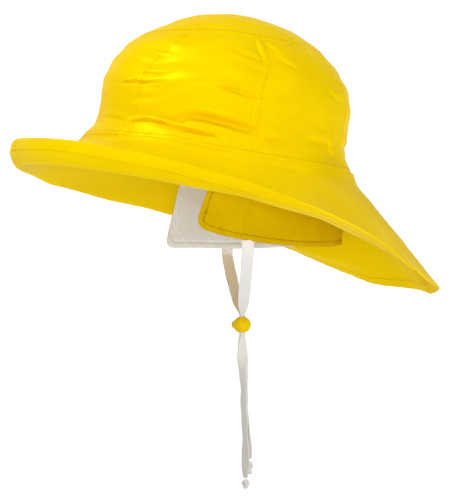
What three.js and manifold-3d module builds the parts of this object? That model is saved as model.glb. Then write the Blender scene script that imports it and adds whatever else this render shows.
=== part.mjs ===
// Sou'wester rain hat: six-panel crown with an oval tip, long back brim with a turned-up front and side
// edge, ear and neck flap with a cotton lining, and two chin tapes that run through a sprung cord lock.
// Millimetres, +Z up, front of the hat towards -Y, wearer's left towards +X. The origin is the middle of
// the head opening, where the hat sits on a head.
import * as THREE from 'three';
import { mergeVertices } from 'three/addons/utils/BufferGeometryUtils.js';
import Module from 'manifold-3d';

const wasm = await Module();
wasm.setup();

// Cloth and clearances
const CLOTH = 1.5;
const FLAP_CLOTH = 1.1;
const GAP = 0.3;

// How far the front of the hat is raised as it is worn, in degrees
const WEAR_TILT = 7.3;

// Crown: the head opening at the brim seam, and the height above it
const OPENING_LENGTH = 226;
const OPENING_WIDTH = 184;
const CROWN_HEIGHT = 116;
const SEAM_SLOPE = 58;
const SEAM_DIP = 6;

// Seams between the crown's side panels, in degrees from the front on either side
const PANEL_SEAMS = [35, 92, 146];

// Brim: reach from the seam to the fold, drop of the fold at the back, and the edge band beyond the fold
const BRIM_REACH_FRONT = 47;
const BRIM_REACH_SIDE = 48;
const BRIM_REACH_BACK = 72;
const BRIM_DROP = 70;
const BAND_WIDTH = 22;
const BAND_BOW = 20;

// Ear and neck flap: length below the seam, corner radius, and where its front edges are, in degrees
const FLAP_LENGTH = 72;
const FLAP_CORNER = 9;
const FLAP_FRONT_LEFT = 79;
const FLAP_FRONT_RIGHT = 88;
const FLAP_SLANT = 8;

// Chin tapes, how they are gathered in the lock as shares of their width and thickness, and their knots
const TAPE_WIDTH = 10;
const TAPE_THICKNESS = 1;
const GATHERED_WIDTH = 0.42;
const GATHERED_THICKNESS = 1.6;
const KNOT_LEFT_LENGTH = 9;
const KNOT_LEFT_WIDTH = 6.5;
const KNOT_RIGHT_LENGTH = 13;
const KNOT_RIGHT_WIDTH = 5;
const KNOT_FLATNESS = 0.8;

// Cord lock: egg-shaped barrel, plunger with its knob and travel, and the turn of its axis, in degrees
const LOCK_DIAMETER = 13.6;
const LOCK_ROUNDNESS = 2.6;
const LOCK_END = 1.4;
const LOCK_LIP = 2.4;
const LOCK_TRAVEL = 1.6;
const LOCK_TURN = 23;
const PLUNGER_DIAMETER = 7.2;
const PLUNGER_END = 1.2;
const KNOB_OUT = 5.5;
const KNOB_EDGE = 1;

// Crown sections from the seam up: rise as a share of the height, front, back and side as shares of the
// half length and half width of the opening
const CROWN_SECTIONS = [
  { rise: 0, front: 1, back: 1, side: 1 },
  { rise: 0.055, front: 0.955, back: 0.965, side: 0.962 },
  { rise: 0.11, front: 0.917, back: 0.94, side: 0.94 },
  { rise: 0.2, front: 0.902, back: 0.93, side: 0.93 },
  { rise: 0.37, front: 0.9, back: 0.93, side: 0.925 },
  { rise: 0.52, front: 0.865, back: 0.893, side: 0.885 },
  { rise: 0.66, front: 0.78, back: 0.8, side: 0.79 },
  { rise: 0.78, front: 0.63, back: 0.68, side: 0.64 },
  { rise: 0.88, front: 0.465, back: 0.55, side: 0.47 },
  { rise: 0.95, front: 0.28, back: 0.37, side: 0.29 },
  { rise: 1, front: -0.044, back: 0.044, side: 0 },
];

// How far the brim seam dips below its plane, by angle from the front, as a share of SEAM_DIP
const SEAM_ROWS = [
  { angle: 0, dip: 0 },
  { angle: 50, dip: 0.15 },
  { angle: 80, dip: 0.8 },
  { angle: 105, dip: 1 },
  { angle: 140, dip: 0.6 },
  { angle: 180, dip: 0 },
];

// Where the oval tip panel starts, in steps of the table above, by angle from the front
const TIP_SEAM = [
  { angle: 0, step: 6.6 },
  { angle: 90, step: 7.1 },
  { angle: 180, step: 7.0 },
];

// Dents and creases of the crown: angle from the front in degrees, rise and size as shares of the height
const DENTS = [
  { angle: 55, rise: 0.11, long: 0.26, wide: 0.035, depth: 0.026, slant: -8 },
  { angle: 76, rise: 0.17, long: 0.2, wide: 0.07, depth: 0.034, slant: -2 },
  { angle: 88, rise: 0.4, long: 0.16, wide: 0.05, depth: 0.02, slant: -12 },
  { angle: 97, rise: 0.66, long: 0.12, wide: 0.09, depth: 0.034, slant: 30 },
  { angle: 42, rise: 0.46, long: 0.2, wide: 0.045, depth: 0.012, slant: 0 },
];

// Brim rows by angle from the front: spread of the fold as a share of its ellipse's half width, its drop
// as a share of the back drop, the band's angle above the horizontal, and how much of the bow it has
const BRIM_ROWS = [
  { angle: 0, spread: 1, drop: 0.45, band: 74, bow: 1 },
  { angle: 30, spread: 1, drop: 0.475, band: 72, bow: 1 },
  { angle: 45, spread: 1, drop: 0.505, band: 64, bow: 1 },
  { angle: 60, spread: 1, drop: 0.535, band: 51, bow: 0.9 },
  { angle: 75, spread: 1, drop: 0.565, band: 34, bow: 0.8 },
  { angle: 90, spread: 1, drop: 0.61, band: 18, bow: 0.6 },
  { angle: 105, spread: 0.95, drop: 0.69, band: 4, bow: 0.4 },
  { angle: 120, spread: 0.87, drop: 0.8, band: -11, bow: 0.2 },
  { angle: 135, spread: 0.84, drop: 0.94, band: -27, bow: 0 },
  { angle: 150, spread: 0.84, drop: 1, band: -37, bow: 0 },
  { angle: 165, spread: 0.84, drop: 1, band: -44, bow: 0 },
  { angle: 180, spread: 0.84, drop: 1.02, band: -51, bow: 0 },
];

// Brim profile from the seam to the fold, as shares of reach and drop
const BRIM_PROFILE = [
  { reach: 0, drop: 0 },
  { reach: 0.07, drop: 0.13 },
  { reach: 0.28, drop: 0.315 },
  { reach: 0.52, drop: 0.55 },
  { reach: 0.8, drop: 0.82 },
  { reach: 1, drop: 1 },
];

// Bottom of the flap by angle from the front, as shares of its length on the left and the right, and how
// far it swings inwards, in degrees
const FLAP_HEM = [
  { angle: 70, left: 0.85, right: 1.07, swing: 16 },
  { angle: 82, left: 0.9, right: 1.09, swing: 16 },
  { angle: 95, left: 0.93, right: 1.02, swing: 14 },
  { angle: 115, left: 0.92, right: 0.93, swing: 10 },
  { angle: 145, left: 0.87, right: 0.84, swing: 3 },
  { angle: 180, left: 0.78, right: 0.78, swing: -1.5 },
];

// Routes of the chin tapes from the flap's hem to their knots: width and thickness as shares of the
// tape's own, and the turn of its width from the front-to-back direction, in degrees
const TAPE_LEFT = [
  { x: 73.6, y: 3.6, z: -73.6, width: 1, thick: 1, turn: 0 },
  { x: 72, y: 4.2, z: -79, width: 1, thick: 1, turn: 0 },
  { x: 60, y: 7, z: -91, width: 1, thick: 1, turn: 0 },
  { x: 40, y: 11.5, z: -106, width: 1, thick: 1, turn: 0 },
  { x: 20, y: 16, z: -119.5, width: 0.95, thick: 1, turn: 0 },
  { x: 6.5, y: 19.7, z: -127, width: 0.7, thick: 1.4, turn: -14 },
  { x: 0.92, y: 20.89, z: -132, width: GATHERED_WIDTH, thick: GATHERED_THICKNESS, turn: -23 },
  { x: 0.92, y: 20.89, z: -147, width: GATHERED_WIDTH, thick: GATHERED_THICKNESS, turn: -23 },
  { x: 0.98, y: 20.64, z: -152, width: 0.6, thick: 1.4, turn: -8 },
  { x: 0.82, y: 20.68, z: -162, width: 0.85, thick: 1.1, turn: 15 },
  { x: 0.56, y: 20.9, z: -176, width: 1, thick: 1, turn: 42 },
  { x: 0.38, y: 21.55, z: -195, width: 1, thick: 1, turn: 60 },
  { x: 0.47, y: 22.7, z: -222, width: 1, thick: 1, turn: 62 },
  { x: 0.75, y: 23.2, z: -240, width: 1, thick: 1, turn: 62 },
  { x: 0.8, y: 23.3, z: -256, width: 0.85, thick: 1.1, turn: 62 },
  { x: 0.8, y: 23.3, z: -262, width: 0.6, thick: 1.4, turn: 62 },
  { x: 0.8, y: 23.3, z: -265, width: 0.4, thick: 1.6, turn: 62 },
];
const TAPE_RIGHT = [
  { x: -72.3, y: 28.7, z: -76.4, width: 1, thick: 1, turn: 0 },
  { x: -71, y: 28.3, z: -81.5, width: 1, thick: 1, turn: 0 },
  { x: -59, y: 27, z: -92.5, width: 1, thick: 1, turn: 0 },
  { x: -40, y: 25, z: -107, width: 1, thick: 1, turn: 0 },
  { x: -20, y: 22.7, z: -120, width: 0.95, thick: 1, turn: 0 },
  { x: -6.5, y: 20.8, z: -127, width: 0.7, thick: 1.4, turn: -14 },
  { x: -0.92, y: 20.11, z: -132, width: GATHERED_WIDTH, thick: GATHERED_THICKNESS, turn: -23 },
  { x: -0.92, y: 20.11, z: -147, width: GATHERED_WIDTH, thick: GATHERED_THICKNESS, turn: -23 },
  { x: -0.98, y: 20.36, z: -152, width: 0.6, thick: 1.4, turn: -8 },
  { x: -0.82, y: 21.12, z: -162, width: 0.85, thick: 1.1, turn: 15 },
  { x: -0.56, y: 21.9, z: -176, width: 1, thick: 1, turn: 42 },
  { x: -0.38, y: 22.85, z: -195, width: 1, thick: 1, turn: 60 },
  { x: -0.47, y: 24.5, z: -222, width: 1, thick: 1, turn: 62 },
  { x: -0.75, y: 26.2, z: -238, width: 0.85, thick: 1.1, turn: 62 },
  { x: -0.8, y: 27.2, z: -246, width: 0.6, thick: 1.4, turn: 62 },
  { x: -0.8, y: 27.5, z: -249.5, width: 0.4, thick: 1.6, turn: 62 },
];
const LOCK_CENTRE = new THREE.Vector3(0, 20.5, -139.5);

// Section of the chin tapes: shares of half the width and half the thickness
const TAPE_SECTION = [[-1, 0], [-0.92, 1], [0, 1], [0.92, 1], [1, 0], [0.92, -1], [0, -1], [-0.92, -1]];

// Grid steps, how much the flap's columns crowd at its ends, and the small steps that give a slope
const PANEL_STEPS = 12;
const PANEL_RISES = 13;
const TIP_RINGS = 4;
const BRIM_STEPS = 30;
const FLAP_STEPS = 34;
const FLAP_RISES = 5;
const TAPE_STEPS = 34;
const ROUND_SIDES = 20;
const ARC_STEPS = 7;
const CROWDING = 0.03;
const SMALL_STEP = 0.05;
const SMALL_ANGLE = 0.5;

const shell = { color: 0xf2cd00, roughness: 0.42, metalness: 0 };
const cotton = { color: 0xd8d0cd, roughness: 0.9, metalness: 0 };
const twill = { color: 0xece2d8, roughness: 0.9, metalness: 0 };
const plastic = { color: 0xf0c400, roughness: 0.35, metalness: 0 };

const UP = new THREE.Vector3(0, 0, 1);
const radians = THREE.MathUtils.degToRad;

// Slope at a row between two stretches, without overshooting either
function eased(before, after) {
  return before * after <= 0 ? 0 : 2 * before * after / (before + after);
}

// Smooth value of one column of a table at a place along another
function column(rows, key, name, at) {
  let i = 0;
  while (i < rows.length - 2 && rows[i + 1][key] < at) i += 1;
  const [a, b] = [rows[i], rows[i + 1]];
  const slope = (p, q) => (q[name] - p[name]) / (q[key] - p[key]);
  const between = slope(a, b);
  const slopeA = rows[i - 1] ? eased(slope(rows[i - 1], a), between) : between;
  const slopeB = rows[i + 2] ? eased(between, slope(b, rows[i + 2])) : between;
  const span = b[key] - a[key];
  const t = THREE.MathUtils.clamp((at - a[key]) / span, 0, 1);
  const [t2, t3] = [t * t, t * t * t];
  return (2 * t3 - 3 * t2 + 1) * a[name] + (t3 - 2 * t2 + t) * span * slopeA
    + (3 * t2 - 2 * t3) * b[name] + (t3 - t2) * span * slopeB;
}

const SECTIONS = CROWN_SECTIONS.map((row, step) => ({ ...row, step }));
const LAST_SECTION = SECTIONS.length - 1;

// Direction in plan that points out of an ellipse at an angle from the front
function outward(angle, halfWidth, halfLength) {
  const a = radians(angle);
  return new THREE.Vector3(Math.sin(a) / halfWidth, -Math.cos(a) / halfLength, 0).normalize();
}

// Point on an ellipse in plan
function around(angle, halfWidth, halfFront, halfBack) {
  const a = radians(angle);
  const length = Math.cos(a) > 0 ? halfFront : halfBack;
  return new THREE.Vector3(Math.sin(a) * halfWidth, -Math.cos(a) * length, 0);
}

// How deep the crown is pressed in at an angle and a height
function dentDepth(angle, height) {
  let depth = 0;
  for (const dent of DENTS) {
    const sideways = radians(angle - dent.angle) * OPENING_WIDTH / 2;
    const upwards = height - dent.rise * CROWN_HEIGHT;
    const s = radians(dent.slant);
    const along = sideways * Math.cos(s) + upwards * Math.sin(s);
    const across = upwards * Math.cos(s) - sideways * Math.sin(s);
    const far = (along / (dent.long * CROWN_HEIGHT)) ** 2 + (across / (dent.wide * CROWN_HEIGHT)) ** 2;
    depth += dent.depth * CROWN_HEIGHT * Math.exp(-far);
  }
  return depth;
}

// Angle from the front on either side, from 0 to 180
function folded(angle) {
  return Math.abs(((angle + 180) % 360 + 360) % 360 - 180);
}

// How far the brim seam lies below its plane at an angle
function seamDip(angle) {
  return column(SEAM_ROWS, 'angle', 'dip', folded(angle)) * SEAM_DIP;
}

// Outer surface of the crown at an angle from the front and a step of the section table
function crownPoint(angle, step) {
  const front = column(SECTIONS, 'step', 'front', step) * OPENING_LENGTH / 2;
  const back = column(SECTIONS, 'step', 'back', step) * OPENING_LENGTH / 2;
  const side = column(SECTIONS, 'step', 'side', step) * OPENING_WIDTH / 2;
  const height = column(SECTIONS, 'step', 'rise', step) * CROWN_HEIGHT;
  const point = around(angle, side, front, back);
  point.z = height - seamDip(angle) * (1 - height / CROWN_HEIGHT) ** 2;
  const pressed = dentDepth(((angle % 360) + 360) % 360, height);
  return point.addScaledVector(outward(angle, OPENING_WIDTH, OPENING_LENGTH), -pressed);
}

// Direction up the crown's surface at an angle and a step
function upCrown(angle, step) {
  const above = crownPoint(angle, Math.min(step + SMALL_STEP, LAST_SECTION));
  return above.sub(crownPoint(angle, Math.max(step - SMALL_STEP, 0))).normalize();
}

// Normal that the crown and the brim share along their seam
function seamNormal(angle) {
  const slope = radians(SEAM_SLOPE);
  const level = outward(angle, OPENING_WIDTH, OPENING_LENGTH).multiplyScalar(Math.sin(slope));
  return level.addScaledVector(UP, Math.cos(slope));
}

// Normal of the crown by small steps on its surface
function crownNormal(angle, step) {
  if (step === 0) return seamNormal(angle);
  if (step > LAST_SECTION - SMALL_STEP) return UP.clone();
  const acrossStep = crownPoint(angle + SMALL_ANGLE, step).sub(crownPoint(angle - SMALL_ANGLE, step));
  return acrossStep.cross(upCrown(angle, step)).normalize();
}

// Closed body from a grid of points and normals: the grid, its copy one wall below, and the rims
function wallBody(points, normals, thickness, ring = false, pole = false) {
  const rows = points.length;
  const across = points[0].length;
  const vertices = [];
  for (const sunk of [0, thickness]) {
    for (let r = 0; r < rows; r += 1) {
      for (let c = 0; c < across; c += 1) {
        const p = points[r][c].clone().addScaledVector(normals[r][c], -sunk);
        vertices.push(p.x, p.y, p.z);
      }
    }
  }
  const layer = rows * across;
  const id = (r, c, under) => under * layer + r * across + (pole && r === rows - 1 ? 0 : c % across);
  const faces = [];
  const quad = (a, b, c, d) => {
    if (a !== b && b !== c && a !== c) faces.push(a, b, c);
    if (a !== c && c !== d && a !== d) faces.push(a, c, d);
  };
  const cells = ring ? across : across - 1;
  for (let r = 0; r < rows - 1; r += 1) {
    for (let c = 0; c < cells; c += 1) {
      quad(id(r, c, 0), id(r, c + 1, 0), id(r + 1, c + 1, 0), id(r + 1, c, 0));
      quad(id(r, c, 1), id(r + 1, c, 1), id(r + 1, c + 1, 1), id(r, c + 1, 1));
    }
  }
  for (let c = 0; c < cells; c += 1) {
    quad(id(0, c, 0), id(0, c, 1), id(0, c + 1, 1), id(0, c + 1, 0));
    if (!pole) quad(id(rows - 1, c, 0), id(rows - 1, c + 1, 0), id(rows - 1, c + 1, 1), id(rows - 1, c, 1));
  }
  for (let r = 0; r < rows - 1 && !ring; r += 1) {
    quad(id(r, 0, 0), id(r + 1, 0, 0), id(r + 1, 0, 1), id(r, 0, 1));
    quad(id(r, across - 1, 0), id(r, across - 1, 1), id(r + 1, across - 1, 1), id(r + 1, across - 1, 0));
  }
  return facesOut(vertices, faces);
}

// Geometry with its faces pointing out, from corner coordinates and triangles
function facesOut(vertices, faces) {
  let volume = 0;
  const corner = (i) => new THREE.Vector3().fromArray(vertices, 3 * i);
  for (let f = 0; f < faces.length; f += 3) {
    volume += corner(faces[f]).dot(corner(faces[f + 1]).cross(corner(faces[f + 2])));
  }
  const outFaces = volume > 0 ? faces : faces.slice().reverse();
  const geometry = new THREE.BufferGeometry();
  geometry.setAttribute('position', new THREE.Float32BufferAttribute(vertices, 3));
  geometry.setIndex(outFaces);
  geometry.computeVertexNormals();
  return geometry;
}

// One side panel of the crown between two angles
function crownPanel(from, to) {
  const points = [];
  const normals = [];
  const half = GAP / 2;
  for (let r = 0; r <= PANEL_RISES; r += 1) {
    const pointRow = [];
    const normalRow = [];
    for (let c = 0; c <= PANEL_STEPS; c += 1) {
      const angle = from + (to - from) * c / PANEL_STEPS;
      const tip = column(TIP_SEAM, 'angle', 'step', folded(angle));
      const step = tip * r / PANEL_RISES;
      const point = crownPoint(angle, step);
      const sideways = new THREE.Vector3().crossVectors(UP, outward(angle, OPENING_WIDTH, OPENING_LENGTH));
      if (c === 0) point.addScaledVector(sideways, half);
      if (c === PANEL_STEPS) point.addScaledVector(sideways, -half);
      if (r === 0) point.addScaledVector(upCrown(angle, step), half);
      if (r === PANEL_RISES) point.addScaledVector(upCrown(angle, step), -half);
      pointRow.push(point);
      normalRow.push(crownNormal(angle, step));
    }
    points.push(pointRow);
    normals.push(normalRow);
  }
  return wallBody(points, normals, CLOTH);
}

// Oval panel on top of the crown
function crownTip() {
  const points = [];
  const normals = [];
  const steps = PANEL_STEPS * 6;
  for (let r = 0; r <= TIP_RINGS; r += 1) {
    const pointRow = [];
    const normalRow = [];
    for (let c = 0; c < steps; c += 1) {
      const angle = -180 + 360 * (c + 0.5) / steps;
      const tip = column(TIP_SEAM, 'angle', 'step', folded(angle));
      const step = tip + (LAST_SECTION - tip) * r / TIP_RINGS;
      const point = crownPoint(angle, step);
      if (r === 0) point.addScaledVector(upCrown(angle, step), GAP / 2);
      pointRow.push(point);
      normalRow.push(crownNormal(angle, step));
    }
    points.push(pointRow);
    normals.push(normalRow);
  }
  return wallBody(points, normals, CLOTH, true, true);
}

// Points across the brim at an angle from the front, from the seam to the free edge of the band
function brimRow(angle) {
  const seam = around(angle, OPENING_WIDTH / 2, OPENING_LENGTH / 2, OPENING_LENGTH / 2);
  const spread = column(BRIM_ROWS, 'angle', 'spread', angle);
  const fold = around(angle, (OPENING_WIDTH / 2 + BRIM_REACH_SIDE) * spread,
    OPENING_LENGTH / 2 + BRIM_REACH_FRONT, OPENING_LENGTH / 2 + BRIM_REACH_BACK);
  const dip = seamDip(angle);
  const drop = column(BRIM_ROWS, 'angle', 'drop', angle) * BRIM_DROP - dip;
  const row = BRIM_PROFILE.map((share) => {
    const point = seam.clone().lerp(fold, share.reach);
    point.z = -dip - share.drop * drop;
    return point;
  });
  const out = fold.clone().sub(seam).normalize();
  const rise = column(BRIM_ROWS, 'angle', 'band', angle);
  const bow = column(BRIM_ROWS, 'angle', 'bow', angle) * BAND_BOW;
  for (const lean of [rise - bow, rise + bow]) {
    const last = row[row.length - 1];
    const step = out.clone().multiplyScalar(Math.cos(radians(lean)));
    step.addScaledVector(UP, Math.sin(radians(lean)));
    row.push(last.clone().addScaledVector(step, BAND_WIDTH / 2));
  }
  return row;
}

// One half of the brim, on the wearer's left (1) or right (-1)
function brimHalf(side) {
  const points = [];
  for (let i = 0; i <= BRIM_STEPS; i += 1) {
    points.push(brimRow(180 * i / BRIM_STEPS));
  }
  const normals = points.map((row, i) => row.map((point, j) => {
    if (j === 0) return seamNormal(180 * i / BRIM_STEPS);
    const alongStep = points[Math.min(i + 1, BRIM_STEPS)][j].clone().sub(points[Math.max(i - 1, 0)][j]);
    const acrossStep = row[Math.min(j + 1, row.length - 1)].clone().sub(row[j - 1]);
    const normal = acrossStep.cross(alongStep).normalize();
    if (i === 0 || i === BRIM_STEPS) normal.setX(0).normalize();
    return normal.z < 0 && j < BRIM_PROFILE.length ? normal.negate() : normal;
  }));
  points.forEach((row, i) => {
    const down = row[1].clone().sub(row[0]).normalize();
    row[0].addScaledVector(down, GAP / 2);
    row.forEach((point) => point.setX(side * (point.x + GAP / 2)));
    normals[i].forEach((normal) => normal.setX(side * normal.x));
  });
  return wallBody(points, normals, CLOTH);
}

// One layer of the ear and neck flap; inset is how far its outer face lies inside the seam
function flapLayer(inset) {
  const from = FLAP_FRONT_LEFT;
  const to = 360 - FLAP_FRONT_RIGHT;
  const halfWidth = OPENING_WIDTH / 2 - inset;
  const halfLength = OPENING_LENGTH / 2 - inset;
  const points = [];
  const normals = [];
  for (let c = 0; c <= FLAP_STEPS; c += 1) {
    const share = c / FLAP_STEPS;
    const plain = from + (to - from) * (share - Math.sin(4 * Math.PI * share) * CROWDING);
    const fromEnd = radians(Math.min(plain - from, to - plain)) * OPENING_WIDTH / 2;
    const near = Math.max(0, FLAP_CORNER - fromEnd);
    const corner = FLAP_CORNER - Math.sqrt(FLAP_CORNER ** 2 - near ** 2);
    const hem = column(FLAP_HEM, 'angle', plain > 180 ? 'right' : 'left', folded(plain));
    const bottom = hem * FLAP_LENGTH - corner;
    const swing = radians(column(FLAP_HEM, 'angle', 'swing', folded(plain)));
    const pointRow = [];
    const normalRow = [];
    for (let r = 0; r <= FLAP_RISES; r += 1) {
      const below = 2 * GAP + (bottom - 2 * GAP) * r / FLAP_RISES;
      const angle = plain - FLAP_SLANT * Math.cos(Math.PI * share) * below / FLAP_LENGTH;
      const out = outward(angle, halfWidth, halfLength);
      const point = around(angle, halfWidth, halfLength, halfLength);
      point.addScaledVector(out, -below * Math.sin(swing));
      point.z = -seamDip(angle) - below * Math.cos(swing);
      pointRow.push(point);
      normalRow.push(out.multiplyScalar(Math.cos(swing)).addScaledVector(UP, -Math.sin(swing)));
    }
    points.push(pointRow);
    normals.push(normalRow);
  }
  return wallBody(points, normals, FLAP_CLOTH);
}

// Flat tape along its route, with a flattened section
function tapeBody(route) {
  const rows = route.map((row, at) => ({ ...row, at }));
  const stations = [];
  for (let i = 0; i <= TAPE_STEPS; i += 1) {
    const at = (rows.length - 1) * i / TAPE_STEPS;
    const value = (name) => column(rows, 'at', name, at);
    stations.push({
      centre: new THREE.Vector3(value('x'), value('y'), value('z')),
      width: value('width') * TAPE_WIDTH / 2,
      thick: value('thick') * TAPE_THICKNESS / 2,
      turn: radians(value('turn')),
    });
  }
  const vertices = [];
  stations.forEach((station, i) => {
    const ahead = stations[Math.min(i + 1, TAPE_STEPS)].centre.clone();
    const along = ahead.sub(stations[Math.max(i - 1, 0)].centre).normalize();
    const wide = new THREE.Vector3(Math.sin(station.turn), Math.cos(station.turn), 0);
    wide.addScaledVector(along, -wide.dot(along)).normalize();
    const face = new THREE.Vector3().crossVectors(along, wide);
    for (const [w, t] of TAPE_SECTION) {
      const p = station.centre.clone().addScaledVector(wide, w * station.width);
      p.addScaledVector(face, t * station.thick);
      vertices.push(p.x, p.y, p.z);
    }
  });
  const sides = TAPE_SECTION.length;
  const faces = [];
  for (let i = 0; i < TAPE_STEPS; i += 1) {
    for (let k = 0; k < sides; k += 1) {
      const a = i * sides + k;
      const b = i * sides + (k + 1) % sides;
      faces.push(a, b, b + sides, a, b + sides, a + sides);
    }
  }
  for (let k = 1; k < sides - 1; k += 1) {
    const last = TAPE_STEPS * sides;
    faces.push(0, k + 1, k, last, last + k, last + k + 1);
  }
  return facesOut(vertices, faces);
}

// Knot in a tape's end, just below the route's last point
function knotBody(route, width, length) {
  const end = route[route.length - 1];
  const geometry = new THREE.SphereGeometry(0.5, 12, 8);
  geometry.rotateX(Math.PI / 2);
  geometry.scale(width * KNOT_FLATNESS, width, length);
  geometry.translate(end.x, end.y, end.z - GAP - length / 2);
  return welded(geometry);
}

// Geometry with only its positions, shared corners merged
function welded(geometry) {
  const bare = geometry.clone();
  bare.deleteAttribute('normal');
  bare.deleteAttribute('uv');
  const merged = mergeVertices(bare, 1e-4);
  merged.computeVertexNormals();
  return merged;
}

function toSolid(geometry) {
  const bare = welded(geometry);
  const vertProperties = new Float32Array(bare.attributes.position.array);
  const triVerts = new Uint32Array(bare.index.array);
  return new wasm.Manifold(new wasm.Mesh({ numProp: 3, vertProperties, triVerts }));
}

function toGeometry(solid) {
  const mesh = solid.getMesh();
  const geometry = new THREE.BufferGeometry();
  geometry.setAttribute('position', new THREE.Float32BufferAttribute(mesh.vertProperties, 3));
  geometry.setIndex(Array.from(mesh.triVerts));
  geometry.computeVertexNormals();
  return geometry;
}

// Turned body about the lock's axis, from pairs of radius and place along the axis
function turned(profile) {
  const geometry = new THREE.LatheGeometry(profile.map(([r, at]) => new THREE.Vector2(r, at)), ROUND_SIDES);
  geometry.rotateZ(-Math.PI / 2);
  return geometry;
}

// Half of the gathered tapes' way through the lock, along its axis
const WAY = TAPE_THICKNESS * GATHERED_THICKNESS + 2 * GAP;

// Box that cuts the way of the tapes through the lock, between two places along its axis
function tapeWay(from, to) {
  const geometry = new THREE.BoxGeometry(to - from, TAPE_WIDTH * GATHERED_WIDTH + 2 * GAP, LOCK_DIAMETER * 2);
  geometry.translate((from + to) / 2, 0, 0);
  return geometry;
}

// The closed end of the barrel is towards +X; its mouth, where the knob stands out, towards -X
function lockBarrel() {
  const bore = PLUNGER_DIAMETER / 2 + GAP;
  const floor = WAY + PLUNGER_END + LOCK_TRAVEL + GAP;
  const end = floor + LOCK_END;
  const mouth = -WAY - LOCK_LIP;
  const arc = [];
  for (let i = 0; i <= ARC_STEPS; i += 1) {
    const t = i / ARC_STEPS;
    const at = mouth + (end - mouth) * Math.sin(t * Math.PI / 2);
    const share = 1 - (Math.abs(at) / end) ** LOCK_ROUNDNESS;
    arc.push([LOCK_DIAMETER / 2 * Math.max(share, 0) ** (1 / LOCK_ROUNDNESS), at]);
  }
  arc[ARC_STEPS][0] = 0;
  const body = turned([[0, floor], [bore, floor], [bore, mouth], ...arc]);
  return toGeometry(toSolid(body).subtract(toSolid(tapeWay(-WAY, WAY))));
}

function lockPlunger() {
  const radius = PLUNGER_DIAMETER / 2;
  const knob = -WAY - LOCK_LIP - KNOB_OUT;
  const inner = WAY + PLUNGER_END;
  const body = turned([
    [0, knob], [radius - KNOB_EDGE, knob], [radius - KNOB_EDGE / 3, knob + KNOB_EDGE / 3],
    [radius, knob + KNOB_EDGE], [radius, inner], [0, inner],
  ]);
  return toGeometry(toSolid(body).subtract(toSolid(tapeWay(-WAY - LOCK_TRAVEL, WAY))));
}

const model = new THREE.Group();
const hat = new THREE.Group();
hat.rotation.x = radians(-WEAR_TILT);
model.add(hat);
const lock = new THREE.Group();
lock.position.copy(LOCK_CENTRE);
lock.rotation.z = radians(LOCK_TURN);
model.add(lock);

function place(group, name, geometry, finish) {
  const mesh = new THREE.Mesh(geometry, new THREE.MeshStandardMaterial(finish));
  mesh.name = name;
  group.add(mesh);
}

const PANEL_NAMES = ['crown_front', 'crown_left_front', 'crown_left_back', 'crown_back', 'crown_right_back',
  'crown_right_front'];
const seams = [-PANEL_SEAMS[0], ...PANEL_SEAMS, ...PANEL_SEAMS.map((angle) => 360 - angle).reverse()];
PANEL_NAMES.forEach((name, i) => {
  place(hat, name, crownPanel(seams[i], seams[i + 1]), shell);
});
place(hat, 'crown_tip', crownTip(), shell);
place(hat, 'brim_left', brimHalf(1), shell);
place(hat, 'brim_right', brimHalf(-1), shell);
const flapInset = CLOTH + 2 * GAP;
place(hat, 'neck_flap_shell', flapLayer(flapInset), shell);
place(hat, 'neck_flap_lining', flapLayer(flapInset + FLAP_CLOTH + GAP), cotton);
place(model, 'tape_left', tapeBody(TAPE_LEFT), twill);
place(model, 'tape_right', tapeBody(TAPE_RIGHT), twill);
place(model, 'knot_left', knotBody(TAPE_LEFT, KNOT_LEFT_WIDTH, KNOT_LEFT_LENGTH), twill);
place(model, 'knot_right', knotBody(TAPE_RIGHT, KNOT_RIGHT_WIDTH, KNOT_RIGHT_LENGTH), twill);
place(lock, 'cord_lock_barrel', lockBarrel(), plastic);
place(lock, 'cord_lock_plunger', lockPlunger(), plastic);

export default model;
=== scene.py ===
"""Yellow sou'wester rain hat: coated cloth crown and brim, cotton-lined neck flap, twill tapes and cord lock.

Metres, +Z up as the hat is worn, front towards -Y, wearer's left towards +X. The cloth's smooth forms follow
the same sizes and tables as the part's solids; creases, seams, stitches and weave are added here.
"""

import logging
import math
from dataclasses import dataclass, field
from enum import Enum

import bpy
import numpy as np
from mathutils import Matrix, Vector


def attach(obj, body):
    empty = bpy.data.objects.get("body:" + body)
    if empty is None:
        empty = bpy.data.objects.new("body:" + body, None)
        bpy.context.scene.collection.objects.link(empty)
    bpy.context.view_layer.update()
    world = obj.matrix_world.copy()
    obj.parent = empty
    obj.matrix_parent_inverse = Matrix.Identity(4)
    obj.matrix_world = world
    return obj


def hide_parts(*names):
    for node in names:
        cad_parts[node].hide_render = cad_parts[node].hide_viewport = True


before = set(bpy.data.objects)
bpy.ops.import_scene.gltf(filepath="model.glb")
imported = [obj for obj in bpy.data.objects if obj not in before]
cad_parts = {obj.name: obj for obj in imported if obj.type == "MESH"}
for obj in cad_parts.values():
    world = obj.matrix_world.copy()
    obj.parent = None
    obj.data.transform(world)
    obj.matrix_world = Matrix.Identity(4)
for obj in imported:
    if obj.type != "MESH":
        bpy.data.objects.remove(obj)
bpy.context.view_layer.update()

logging.basicConfig(level=logging.INFO, format="%(name)s: %(message)s")
log = logging.getLogger("sou_wester")

Array = np.ndarray
UP = np.array([0.0, 0.0, 1.0])
HAT = "hat"
LOCK_PLUNGER = "lock_plunger"
MILLIMETRE = 0.001


class Side(Enum):
    """Half of the brim, by the sign of X."""

    LEFT = 1
    RIGHT = -1


class Slot(Enum):
    """Material slots of the record."""

    SHELL = "shell"
    LINING = "lining"
    TAPE = "tape"
    LOCK = "lock"


# Tables of shapes

def table(names: str, *rows: tuple[float, ...]) -> dict[str, Array]:
    """Make a table of named columns.

    Args:
        names: column names, with spaces between them.
        rows: one tuple of numbers for each row.

    Returns:
        Each column as an array, by its name.
    """
    return dict(zip(names.split(), np.array(rows, float).T))


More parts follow.
